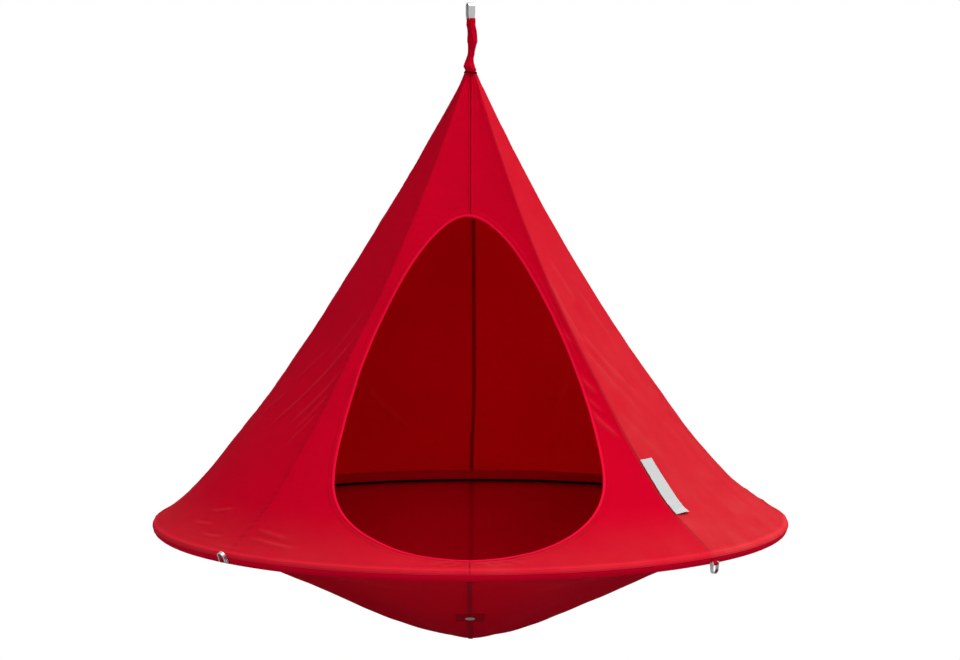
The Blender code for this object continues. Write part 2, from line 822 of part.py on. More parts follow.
def side_label():
    """The bare label on the right, beside the front right seam."""
    sheet = Sheet()
    rows = canopy_rows()
    end = LABEL_START + LABEL_LENGTH
    girths = sorted({*even(LABEL_START, end, 3), *(girth for girth in rows if LABEL_START < girth < end)})
    far = LABEL_MARGIN + LABEL_WIDTH
    distances = (LABEL_MARGIN, TAPE_WIDTH / 2, (TAPE_WIDTH / 2 + far) / 2, far)
    grid = []
    for girth in girths:
        row = []
        for distance in distances:
            depths = (-LAYER_GAP - FABRIC, -LAYER_GAP)
            row.append(sheet.add(*(on_facets(CANOPY, rows, girth, SPAN, distance, d) for d in depths)))
        grid.append(row)
    sheet.cells(grid)
    return from_sheet("side_label", sheet, "label")


def eyelet_place():
    """Matrix of the drain eyelet: its own X axis points out of the floor's front seam."""
    girth = BOWL.profile.girth_at_radius(EYELET_DISTANCE)
    centre = on_facets(BOWL, bowl_rows(), girth, 2 * math.pi, 0, 0)
    _, _, normal_out, normal_up = BOWL.at(girth)
    outward = (radial(0) * normal_out + UP * normal_up).normalized()
    return place_of(centre, outward, outward.cross(sideways(0)).normalized())


def eyelet_patch():
    """The square patch over the tape, round the eyelet."""
    sheet = Sheet()
    girth = BOWL.profile.girth_at_radius(EYELET_DISTANCE)
    rows = bowl_rows()
    start, end = girth - EYELET_PATCH / 2, girth + EYELET_PATCH / 2
    girths = [start, *(row for row in rows if start < row < end), end]
    half = EYELET_PATCH / 2
    over_tape = TAPE_WIDTH / 2 + 5 * GAP
    grid = []
    for length in girths:
        row = []
        for distance in (-half, -over_tape, 0, over_tape, half):
            raised = TAPE_THICKNESS + GAP if abs(distance) < half else 0
            outer = -LAYER_GAP - raised - FABRIC
            depths = (outer, outer + FABRIC)
            row.append(sheet.add(*(on_facets(BOWL, rows, length, 2 * math.pi, distance, d) for d in depths)))
        grid.append(row)
    sheet.cells(grid)
    return from_sheet("eyelet_patch", sheet, "tape")


def eyelet_stack():
    """How far the eyelet's two flanges stand from the floor's outer face."""
    outside = LAYER_GAP + TAPE_THICKNESS + GAP + FABRIC + GAP
    inside = FABRIC + EYELET_SEAT
    return outside, inside


def eyelet():
    outside, inside = eyelet_stack()
    barrel = EYELET_HOLE + EYELET_WALL
    end = -inside - EYELET_RIM - GAP
    profile = [
        (outside + EYELET_RIM, EYELET_HOLE),
        (outside + EYELET_RIM, EYELET_FLANGE - EYELET_RIM / 2),
        (outside + EYELET_RIM / 2, EYELET_FLANGE),
        (outside, EYELET_FLANGE),
        (outside, barrel),
        (end, barrel),
        (end, EYELET_HOLE),
    ]
    piece = turned("eyelet", profile, PIN_SIDES, "steel", closed=True)
    piece.matrix_world = eyelet_place()
    return piece


def eyelet_washer():
    _, inside = eyelet_stack()
    bore = EYELET_HOLE + EYELET_WALL + GAP
    profile = [
        (-inside, bore),
        (-inside, EYELET_FLANGE),
        (-inside - EYELET_RIM, EYELET_FLANGE),
        (-inside - EYELET_RIM, bore),
    ]
    piece = turned("eyelet_washer", profile, PIN_SIDES, "steel", closed=True)
    piece.matrix_world = eyelet_place()
    return piece


def bow(name, jaw, strip, width, eye, shoulder, inside, hole, place):
    """A strip bent to a U, narrowed to an eye at each end; its pin lies on its own X axis."""
    half = jaw / 2
    corner = math.tan(math.pi / 8)
    centre = inside - half * math.cos(math.pi / CROWN_STEPS / 2)
    leg = [(-eye, eye * corner), (-eye * corner, eye), (eye * corner, eye), (shoulder, width / 2)]
    stops = [((half, z), (half + strip, z), wide) for z, wide in leg]
    for i in range(CROWN_STEPS + 1):
        angle = math.pi * i / CROWN_STEPS
        inner, outer = (
            (r * math.cos(angle), centre + r * math.sin(angle)) for r in (half, half + strip)
        )
        stops.append((inner, outer, width / 2))
    stops += [((-half, z), (-half - strip, z), wide) for z, wide in reversed(leg)]
    sections = []
    for inner, outer, wide in stops:
        corners = ((inner, -wide), (outer, -wide), (outer, wide), (inner, wide))
        sections.append([Vector((x, y, z)) for (x, z), y in corners])
    piece = loft(name, sections, "steel")
    piece.matrix_world = place
    drill = cutter(f"{name}_drill", hole, jaw + 4 * strip, place)
    cut(piece, drill)
    return piece


def pin(name, radius, jaw, strip, head_radius, head_length, place):
    """A pin through both eyes, with a head at +X."""
    seat = jaw / 2 + strip + GAP
    tail = -(jaw / 2 + strip + GAP)
    edge = radius * 0.2
    profile = [
        (tail, 0),
        (tail, radius - edge),
        (tail + edge, radius),
        (seat, radius),
        (seat, head_radius),
        (seat + head_length - edge, head_radius),
        (seat + head_length, head_radius - edge),
        (seat + head_length, 0),
    ]
    piece = turned(name, profile, PIN_SIDES, "steel")
    piece.matrix_world = place
    return piece


def ribbon(name, path, thick, width, across, out, up, finish):
    """A flat band through points of (out, up), in a plane square to its width."""
    sections = []
    for index, point in enumerate(path):
        before = path[max(index - 1, 0)]
        after = path[min(index + 1, len(path) - 1)]
        along = Vector((after[0] - before[0], after[1] - before[1])).normalized()
        normal = Vector((-along.y, along.x)) * thick / 2
        corners = []
        for side, wide in ((1, 1), (-1, 1), (-1, -1), (1, -1)):
            place = Vector(point) + normal * side
            corners.append(out * place.x + up * place.y + across * wide * width / 2)
        sections.append(corners)
    return loft(name, sections, finish)


def lifting_loop():
    """Webbing over the top pin, down through the knot, and along the canopy's inner face."""
    across = radial(PIN_TURN)
    out = sideways(PIN_TURN)
    pin_height = -BOW_INSIDE
    knot_height = RING_Z + CANOPY_HEIGHT
    round_pin = TOP_PIN_RADIUS + PIN_CLEARANCE + WEBBING_THICKNESS / 2
    together = WEBBING_THICKNESS / 2 + GAP / 2
    neck_height = (pin_height + knot_height) / 2
    leg = [(together, neck_height), (together, knot_height)]
    azimuth = PIN_TURN + math.pi / 2
    above_tape = TAPE_DEPTH + TAPE_THICKNESS + GAP
    stops = ((0.035, above_tape), (0.070, above_tape), (WEBBING_REACH, FABRIC + GAP))
    for girth, depth in stops:
        place = wall_point(CANOPY, azimuth, girth, depth + WEBBING_THICKNESS / 2)
        leg.append((place.dot(out), place.z))
    over = []
    for i in range(7):
        angle = math.pi * i / 6
        over.append((round_pin * math.cos(angle), pin_height + round_pin * math.sin(angle)))
    path = [*reversed(leg), *over, *((-x, z) for x, z in leg)]
    return ribbon("lifting_loop", path, WEBBING_THICKNESS, WEBBING_WIDTH, across, out, UP, "webbing")


def top_sleeve():
    """The gathered cloth over the loop, from the knot up to round the top bow's eyes."""
    across = radial(PIN_TURN)
    out = sideways(PIN_TURN)
    head = BOW_JAW / 2 + BOW_STRIP + GAP + TOP_HEAD_LENGTH
    wide = head + FABRIC + 3 * GAP
    deep = BOW_EYE + FABRIC + 8 * GAP
    neck_wide = WEBBING_WIDTH / 2 + FABRIC + 4 * GAP
    neck_deep = WEBBING_THICKNESS + FABRIC + 9 * GAP
    full = NECK_RADIUS - GAP
    top = TOP_PIN_RADIUS + PIN_CLEARANCE + WEBBING_THICKNESS + 6 * GAP
    length = LOOP_LENGTH
    rows = [
        (length + top, wide, deep, SQUARE),
        (length - BOW_EYE - 6 * GAP, wide, deep, SQUARE),
        (length * 0.80, (wide + neck_wide) / 2, deep, SQUARE),
        (length * 0.62, neck_wide + 3 * GAP, deep, SQUARE),
        (length * 0.38, neck_wide, neck_deep, SQUARE),
        (length * 0.22, (full + neck_wide) / 2, (full + neck_deep) / 2, 0.8),
        (length * 0.10, full, full, 1.0),
        (GAP, full, full, 1.0),
    ]
    sheet = Sheet()
    grid = []
    sides = 12
    for height, along_pin, square_on, power in rows:
        row = []
        for i in range(sides):
            angle = 2 * math.pi * i / sides
            shape = [math.copysign(abs(v) ** power, v) for v in (math.cos(angle), math.sin(angle))]
            pair = []
            for inset in (0, FABRIC):
                place = across * shape[0] * (along_pin - inset) + out * shape[1] * (square_on - inset)
                pair.append(place + UP * (RING_Z + CANOPY_HEIGHT + height))
            row.append(sheet.add(*pair))
        grid.append(row)
    sheet.cells(grid, closed=True)
    return from_sheet("top_sleeve", sheet, "canopy_cloth")


def neck_cord():
    """The cord tied round the canopy's neck."""
    cloth = NECK_RADIUS + 3 * NECK_CORD / math.tan(NECK_SLOPE)
    centre = (cloth + GAP) / math.cos(math.pi / PIN_SIDES) + NECK_CORD
    profile = []
    for i in range(8):
        angle = 2 * math.pi * i / 8
        profile.append((NECK_CORD * math.sin(angle), centre + NECK_CORD * math.cos(angle)))
    piece = turned("neck_cord", profile, PIN_SIDES, "webbing", closed=True)
    place = Vector((0, 0, RING_Z + CANOPY_HEIGHT - 2 * NECK_CORD))
    piece.matrix_world = place_of(place, UP, radial(0))
    return piece


def side_pin_centre(azimuth, angle):
    """Centre of a side pin, at an angle about the tube's centre line."""
    reach, height = sleeve_point(angle, SLEEVE_OUT + SIDE_EYE + SIDE_STANDOFF)
    return radial(azimuth) * reach + UP * (RING_Z + height)


def side_tab(name, azimuth, angle):
    """Webbing sewn to the sleeve below the rim's seam, and looped round the side pin."""
    pin_reach = SLEEVE_OUT + SIDE_EYE + SIDE_STANDOFF
    on_sleeve = SLEEVE_OUT + GAP + TAB_THICKNESS / 2
    loop_radius = SIDE_PIN_RADIUS + PIN_CLEARANCE + TAB_THICKNESS / 2
    path = []
    for i in range(3):
        turn = RIM_SEAM_ANGLE + (angle + 0.30 - RIM_SEAM_ANGLE) * i / 2
        path.append(sleeve_point(turn, on_sleeve))
    centre = sleeve_point(angle, pin_reach)
    for i in range(10):
        turn = angle + math.pi - math.radians(60 + 290 * i / 9)
        path.append((centre[0] + loop_radius * math.cos(turn), centre[1] + loop_radius * math.sin(turn)))
    path = [(reach, height + RING_Z) for reach, height in path]
    args = (TAB_THICKNESS, TAB_WIDTH, sideways(azimuth), radial(azimuth), UP, "webbing")
    return ribbon(name, path, *args)


def side_shackle(side, azimuth, tab_angle, bow_angle, nest):
    """A small bow and its pin on a webbing tab."""
    ride(side_tab(f"{side}_tab", azimuth, tab_angle), nest)
    crown = radial(azimuth) * math.cos(bow_angle) + UP * math.sin(bow_angle)
    place = place_of(side_pin_centre(azimuth, tab_angle), sideways(azimuth), crown)
    hole = SIDE_PIN_RADIUS + PIN_CLEARANCE
    sizes = (SIDE_JAW, SIDE_STRIP, SIDE_WIDTH, SIDE_EYE, SIDE_SHOULDER, SIDE_INSIDE, hole)
    strip = bow(f"{side}_bow", *sizes, place)
    ride(strip, nest)
    head = (SIDE_HEAD_RADIUS, SIDE_HEAD_LENGTH)
    ride(pin(f"{side}_pin", SIDE_PIN_RADIUS, SIDE_JAW, SIDE_STRIP, *head, place), strip)


def main():
    for item in list(bpy.data.objects):
        bpy.data.objects.remove(item, do_unlink=True)

    material("canopy_cloth", (0.62, 0.008, 0.022), 0.75)
    material("floor_cloth", (0.40, 0.003, 0.010), 0.80)
    material("tape", (0.16, 0.001, 0.004), 0.85)
    material("binding", (0.70, 0.012, 0.025), 0.70)
    material("webbing", (0.50, 0.006, 0.016), 0.85)
    material("fastener", (0.012, 0.010, 0.011), 0.90)
    material("label", (0.68, 0.69, 0.68), 0.55)
    material("tube", (0.60, 0.61, 0.62), 0.35, 1.0)
    material("steel", (0.66, 0.66, 0.65), 0.28, 1.0)

    pin_place = place_of(Vector((0, 0, -BOW_INSIDE)), radial(PIN_TURN), UP)
    hole = TOP_PIN_RADIUS + PIN_CLEARANCE
    sizes = (BOW_JAW, BOW_STRIP, BOW_WIDTH, BOW_EYE, BOW_SHOULDER, BOW_INSIDE, hole)
    bow("top_bow", *sizes, pin_place)
    pin("top_pin", TOP_PIN_RADIUS, BOW_JAW, BOW_STRIP, TOP_HEAD_RADIUS, TOP_HEAD_LENGTH, pin_place)

    nest = bpy.data.objects.new("nest_swing_axis", None)
    bpy.context.scene.collection.objects.link(nest)
    nest.matrix_world = pin_place

    pieces = [
        lifting_loop(),
        top_sleeve(),
        neck_cord(),
        rim_band(),
        ring_flap(),
        flap_fastener(),
        door_binding(),
        side_label(),
        foot_patch(),
        front_panel("canopy_front_right", 1),
        front_panel("canopy_front_left", -1),
        eyelet(),
        eyelet_washer(),
    ]
    names = ("right_front", "right_rear", "rear_right", "rear_left", "left_rear", "left_front")
    for number, name in enumerate(names, start=1):
        pieces.append(canopy_panel(f"canopy_{name}", number))
    names = ("front", "front_right", "right", "rear_right", "rear", "rear_left", "left", "front_left")
    for number, name in enumerate(names):
        pieces.append(canopy_tape(f"canopy_tape_{name}", number))
    for number in range(RING_SECTIONS):
        pieces += [ring_tube(number), ring_spigot(number)]
    floor = [
        floor_panel(f"floor_{name}", number)
        for number, name in enumerate(("front_right", "rear_right", "rear_left", "front_left"))
    ]
    tapes = [
        floor_tape(f"floor_tape_{name}", number) for number, name in enumerate(("front", "right", "rear", "left"))
    ]
    patch = eyelet_patch()
    barrel_hole = EYELET_HOLE + EYELET_WALL + GAP
    drill = cutter("eyelet_drill", barrel_hole, 20 * barrel_hole / 7, eyelet_place())
    for piece in (floor[0], floor[-1], tapes[0], patch):
        cut(piece, drill)
    for piece in [*pieces, *floor, *tapes, patch]:
        ride(piece, nest)

    side_shackle("right", SIDE_AZIMUTH, RIGHT_TAB_ANGLE, RIGHT_BOW_ANGLE, nest)
    side_shackle("left", -SIDE_AZIMUTH, LEFT_TAB_ANGLE, LEFT_BOW_ANGLE, nest)


main()
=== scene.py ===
# %% [markdown]
# # A hanging nest of red canvas
# The nest is a round tent for one person. Eight canvas gores run from a tied neck down to a ring of
# tubes, a shallow cloth bowl closes the ring from below, and one steel shackle carries the whole.
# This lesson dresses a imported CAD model: each cell makes one piece of the real object, at its real
# size, in metres, with the shackle's crown at the origin and the doorway towards -Y.

import math

import bpy
import numpy as np
from mathutils import Matrix, Vector


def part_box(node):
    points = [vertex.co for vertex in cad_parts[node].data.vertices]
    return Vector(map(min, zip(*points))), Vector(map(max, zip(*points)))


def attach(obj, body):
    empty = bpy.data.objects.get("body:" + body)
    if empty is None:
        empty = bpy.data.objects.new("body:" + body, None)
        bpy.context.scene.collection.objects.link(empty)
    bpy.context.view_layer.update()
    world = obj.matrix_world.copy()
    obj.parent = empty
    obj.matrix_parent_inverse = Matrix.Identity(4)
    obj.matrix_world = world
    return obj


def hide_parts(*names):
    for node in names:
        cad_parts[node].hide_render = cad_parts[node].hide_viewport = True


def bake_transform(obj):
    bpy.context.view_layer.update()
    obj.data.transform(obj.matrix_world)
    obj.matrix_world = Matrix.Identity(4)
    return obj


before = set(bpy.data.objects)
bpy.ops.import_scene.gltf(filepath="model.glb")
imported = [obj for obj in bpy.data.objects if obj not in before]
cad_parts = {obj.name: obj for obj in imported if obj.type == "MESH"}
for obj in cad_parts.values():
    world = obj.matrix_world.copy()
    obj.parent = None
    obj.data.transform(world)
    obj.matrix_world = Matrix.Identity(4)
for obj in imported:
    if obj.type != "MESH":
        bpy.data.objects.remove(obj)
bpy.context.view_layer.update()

# %% [markdown]
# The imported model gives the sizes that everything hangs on: the ring's plane and radius, the tube,
# the height of the neck and the depth of the bowl. They are measured here, so the cloth fits the
# ring even if the model changes.

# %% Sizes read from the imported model
tube_low, tube_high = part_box("ring_tube_5")
tube_radius = (tube_high.z - tube_low.z) / 2
ring_height = (tube_high.z + tube_low.z) / 2
ring_radius = -tube_low.y - tube_radius
neck_above_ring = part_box("canopy_rear_left")[1].z - ring_height
cloth_thickness = 0.0007
layer_gap = 0.0006
sleeve_radius = tube_radius + 0.0013
bowl_depth = ring_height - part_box("foot_patch")[0].z - cloth_thickness - layer_gap
pin_height = (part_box("top_pin")[0].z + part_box("top_pin")[1].z) / 2
loop_length = pin_height - ring_height - neck_above_ring
print(f"ring radius {ring_radius:.4f}, neck {neck_above_ring:.4f}")
print(f"bowl {bowl_depth:.4f}, loop {loop_length:.4f}")

# %% [markdown]
# The photograph was taken from about six metres in front, a little above the doorway, with a long
# lens. The camera comes first, because every later choice is judged through it.

# %% Camera
picture_width = 960
focal_pixels = 2545
sensor_width = 36
focal_length = focal_pixels / picture_width * sensor_width
eye_distance = 6.0
eye_above_ring = 0.9503
eye_aside = 0.0224
looking_down = 0.08269

camera = bpy.data.objects.new("camera", bpy.data.cameras.new("camera"))
bpy.context.scene.collection.objects.link(camera)
camera.data.sensor_width = sensor_width
camera.data.lens = focal_length
camera.location = (eye_aside, -eye_distance, ring_height + eye_above_ring)
camera.rotation_euler = (math.pi / 2 - looking_down, 0, 0)
bpy.context.scene.camera = camera
bpy.context.scene.view_settings.view_transform = "Standard"
print("lens", round(focal_length, 2), "mm")

# %% [markdown]
# A cone of cloth could be a lathe shape, but a real one isn't round: between its seams the cloth is
# drawn flat, and the front is pulled in by the doorway. So the canopy is a formula instead. An
# azimuth says how far round from the doorway a point is, a girth says how far down the cloth from
# the neck, and two curves give the radius and height there.


# %% Curves that the cloth follows
def smooth_step(value):
    value = np.clip(value, 0, 1)
    return value * value * (3 - 2 * value)


def rise(value, start, length):
    """0 up to the start, then smoothly up to 1 over this length."""
    return smooth_step((value - start) / length)


def hill(value, width):
    """1 at 0, falling away on both sides within about this width."""
    return np.exp(-((value / width) ** 2))


def radial(azimuth):
    """Level directions out from the axis, at azimuths counted from the doorway."""
    azimuth = np.asarray(azimuth, float)
    return np.stack([np.sin(azimuth), -np.cos(azimuth), np.zeros_like(azimuth)], -1)


def along_ring(azimuth):
    """The level direction along the ring at an azimuth."""
    return np.array([math.cos(azimuth), math.sin(azimuth), 0])


def unit(vectors):
    return vectors / np.maximum(np.linalg.norm(vectors, axis=-1, keepdims=True), 1e-12)


class Section:
    """A cubic curve of radius and height, read by the length along it."""

    def __init__(self, start, first, second, end):
        share = np.linspace(0, 1, 800)[:, None]
        rest = 1 - share
        weights = (rest**3, 3 * rest**2 * share, 3 * rest * share**2, share**3)
        corners = (start, first, second, end)
        self.points = sum(w * np.array(p, float) for w, p in zip(weights, corners))
        steps = np.linalg.norm(np.diff(self.points, axis=0), axis=1)
        self.lengths = np.concatenate([[0], np.cumsum(steps)])
        self.length = self.lengths[-1]
        self.slopes = np.gradient(self.points, self.lengths, axis=0)

    def at(self, girth):
        """Radius, height and the two parts of the outward normal."""
        radius, height = (np.interp(girth, self.lengths, self.points[:, i]) for i in (0, 1))
        along_r, along_h = (np.interp(girth, self.lengths, self.slopes[:, i]) for i in (0, 1))
        size = np.hypot(along_r, along_h)
        return radius, height, -along_h / size, along_r / size

    def girth_at_height(self, height):
        return np.interp(-np.asarray(height), -self.points[:, 1], self.lengths)

    def girth_at_radius(self, radius):
        order = np.argsort(self.points[:, 0])
        return np.interp(radius, self.points[order, 0], self.lengths[order])


def round_tube(angle, radius):
    """Radius and height of a point round the tube's centre line."""
    return ring_radius + radius * np.cos(angle), radius * np.sin(angle)


# %% [markdown]
# The canopy starts steep at the knot, comes down in one long curve and meets the ring's sleeve at a
# tangent. From there it wraps round the sleeve to its hem. Its front seams and its flanks hang a
# little aside, as the photograph shows, and that drift is part of the wall.

# %% Canopy wall
span = math.tau / 8
neck_radius = 0.013
neck_slope = math.radians(77.5)
rim_slope = math.radians(28.2)
tangent_angle = math.pi / 2 - rim_slope
hem_angle = math.radians(5)
front_pull = 0.74
flat_start = 0.05
flat_span = 0.45
neck_handle = 0.04
rim_handle = 0.29

canopy_end = round_tube(tangent_angle, sleeve_radius)
canopy_section = Section(
    (neck_radius, neck_above_ring),
    (
        neck_radius + neck_handle * math.cos(neck_slope),
        neck_above_ring - neck_handle * math.sin(neck_slope),
    ),
    (
        canopy_end[0] - rim_handle * math.cos(rim_slope),
        canopy_end[1] + rim_handle * math.sin(rim_slope),
    ),
    canopy_end,
)
canopy_length = canopy_section.length
hem_girth = canopy_length + sleeve_radius * (tangent_angle - hem_angle)


def canopy_plan(azimuth, height):
    """Reach as a share of the seams' radius: round low down, flat between the seams higher up."""
    flat = rise(height, flat_start, flat_span)
    seam = np.floor(azimuth / span + 1e-9)
    start, end = (np.where(number % 8 == 0, front_pull, 1.0) for number in (seam, seam + 1))
    part = azimuth - seam * span
    chord = start * end * math.sin(span) / (start * np.sin(part) + end * np.sin(span - part))
    return 1 + flat * (chord - 1)


def canopy_profile(girth):
    """Radius, height and outward normal at a girth: down the wall, then round the sleeve."""
    radius, height, out, up = canopy_section.at(girth)
    angle = tangent_angle - (girth - canopy_length) / sleeve_radius
    round_radius, round_height = round_tube(angle, sleeve_radius)
    over = girth > canopy_length
    pairs = (
        (radius, round_radius), (height, round_height), (out, np.cos(angle)), (up, np.sin(angle)),
    )
    return [np.where(over, wrapped, plain) for plain, wrapped in pairs]


def canopy_radius(girth):
    return canopy_profile(girth)[0]


def seam_drift(azimuth, radius, height):
    """The front seams hang a little forward of their place, between the neck and the ring."""
    drift = np.zeros_like(azimuth)
    low = rise(height, 0.02, 0.12)
    right_reach = 0.008 + 0.010 * rise(height, 0.30, 0.25)
    left_reach = 0.011 + 0.007 * rise(height, 0.46, 0.12)
    for side, reach in ((1, right_reach), (-1, left_reach)):
        turn = (side * azimuth + math.pi) % math.tau - math.pi
        near = np.clip(turn / span, 0, 1) * np.clip(2 - turn / span, 0, 1)
        drift = drift - side * near * np.minimum(reach, 0.09 * radius) * low
    return drift / np.maximum(radius, 0.01)


def lean(azimuth, height):
    """The cloth hangs aside below the neck: its flanks to the left, its back to the right."""
    high = smooth_step((neck_above_ring - height) / 0.46)
    sideways = np.sin(azimuth)
    low = rise(height, 0.03, 0.125 - 0.055 * sideways)
    flanks = -0.0118 * sideways**2 * low
    in_dip = rise(height, 0.05, 0.06) * (1 - rise(height, 0.18, 0.12))
    dip = -0.0035 * np.maximum(sideways, 0) ** 2 * in_dip
    back = 0.0070 * np.maximum(-np.cos(azimuth), 0) ** 2 * rise(height, 0.03, 0.25)
    return high * (flanks + back) + dip


def on_wall(profile, plan, azimuth, girth, lift, drift=None):
    """Points of a wall that has this profile and plan, lifted off it along its normal."""
    azimuth, girth, lift = np.broadcast_arrays(azimuth, girth, np.asarray(lift, float))
    radius, height, out, up = profile(girth)
    turn = azimuth + drift(azimuth, radius, height) if drift else azimuth
    points = radial(turn) * (radius * plan(azimuth, height) + lift * out)[..., None]
    points[..., 2] = ring_height + height + lift * up
    return points


def bare_canopy(azimuth, girth, lift=0.0):
    points = on_wall(canopy_profile, canopy_plan, azimuth, girth, lift, seam_drift)
    points[..., 0] += lean(azimuth, canopy_profile(girth)[1])
    return points


print(f"gore length {hem_girth:.3f} m, rim width of a gore {span * ring_radius:.3f} m")

# %% [markdown]
# The bowl leaves the sleeve on its under side and runs almost level to the foot. The same function
# that lays points on the canopy lays them here, with another curve and another plan.

# %% Bowl wall
quarter = math.pi / 2
bowl_slope = math.radians(11.4)
bowl_angle = bowl_slope - quarter
bowl_draw = 0.18
bowl_draw_span = 0.08
bowl_handle = 0.2615
foot_handle = 0.1738
foot_patch_radius = 0.035

bowl_start = round_tube(bowl_angle, sleeve_radius)
bowl_section = Section(
    bowl_start,
    (
        bowl_start[0] - bowl_handle * math.cos(bowl_slope),
        bowl_start[1] - bowl_handle * math.sin(bowl_slope),
    ),
    (foot_handle, -bowl_depth),
    (0, -bowl_depth),
)


def bowl_radius(girth):
    return bowl_section.at(girth)[0]


def bowl_plan(azimuth, height):
    """Reach as a share of the seams' radius: drawn in between the four seams."""
    drawn = smooth_step((bowl_start[1] - height) / bowl_draw_span)
    return 1 - bowl_draw * drawn * np.sin(azimuth * 2) ** 2


def bare_bowl(azimuth, girth, lift=0.0):
    return on_wall(bowl_section.at, bowl_plan, azimuth, girth, lift)


print(f"floor panel length {bowl_section.length:.3f} m")

# %% [markdown]
# The doorway is a drop shape, wide and low at its foot. Its outline is drawn as two curves in the
# picture plane and then laid on the cloth, once for each side, because the two front gores aren't
# quite alike. Creases read it too, since a hemmed edge pulls them out of the cloth beside it.

# %% Doorway outline
door_top = 0.7268
door_foot = 0.0263
door_half_width = 0.2949
door_widest = 0.1633
door_upper = Section(
    (0, door_top), (0.1245, door_top), (door_half_width, door_widest + 0.1400),
    (door_half_width, door_widest),
)
door_lower = Section(
    (door_half_width, door_widest), (door_half_width, door_widest - 0.1381), (0.0070, door_foot),
    (0, door_foot),
)


def door_middle(height):
    """The doorway hangs a few millimetres to the left of the front seam."""
    foot = rise(height, door_foot, 0.06)
    return -foot * (0.0022 + 0.0033 * rise(height, 0.15, 0.40))


def across_front(width, girth, side):
    """Azimuth on a front gore, right 1 or left -1, where the cloth is this far from the middle."""
    low, high = np.zeros_like(width), np.full_like(width, span)
    for _ in range(40):
        middle = (low + high) / 2
        inside = side * bare_canopy(side * middle, girth)[..., 0] < width
        low, high = np.where(inside, middle, low), np.where(inside, high, middle)
    return (low + high) / 2


outline = np.concatenate([door_upper.points, door_lower.points[1:]])
outline_girth = canopy_section.girth_at_height(outline[:, 1])
outline_azimuth, outline_points = {}, {}
for side in (1, -1):
    reach = np.maximum(outline[:, 0] + side * door_middle(outline[:, 1]), 0)
    outline_azimuth[side] = across_front(reach, outline_girth, side)
    outline_azimuth[side][[0, -1]] = 0
    outline_points[side] = bare_canopy(side * outline_azimuth[side], outline_girth)
door_sides = [np.linalg.norm(np.diff(line, axis=0), axis=1) for line in outline_points.values()]
print(f"doorway edge {float(np.sum(door_sides)):.3f} m")

# %% [markdown]
# Canvas that hangs for a while isn't smooth. It puckers along its seams, where the thread is
# shorter than the cloth, and it pulls into long creases between the points that carry load. A
# cloth simulation gives creases in places that nobody chose. Here each one is written down with its
# place, and all pieces that are sewn to the cloth read the same relief, so nothing comes apart.

# %% Unevenness of the cloth
seam_ridge = 0.0006
seam_groove = 0.0013
pucker_pitch = 0.017
pucker_height = 0.0004
gather_height = 0.0012
gather_count = 20
foot_blunt = 0.0048


def random_waves(points, wavelength, seed, count=14):
    """A soft, even roughness between -1 and 1, the same wherever a point is read."""
    draw = np.random.default_rng(seed)
    turns = unit(draw.normal(size=(count, 3))) * math.tau / wavelength
    phases = draw.uniform(0, math.tau, count)
    total = sum(np.sin(points @ turn + phase) for turn, phase in zip(turns, phases))
    return total / math.sqrt(count / 2) / 2


def seam_distance(azimuth, radius, seam_span):
    """Distance along the ring to the nearest seam."""
    nearest = np.round(azimuth / seam_span) * seam_span
    return np.abs(azimuth - nearest) * radius


print("a pucker every", pucker_pitch, "m along a seam")

# %% [markdown]
# A crease is a straight line on the cloth from one point to another. It stands up as a soft ridge,
# with a hollow on one side, and fades out at both ends and near the doorway.

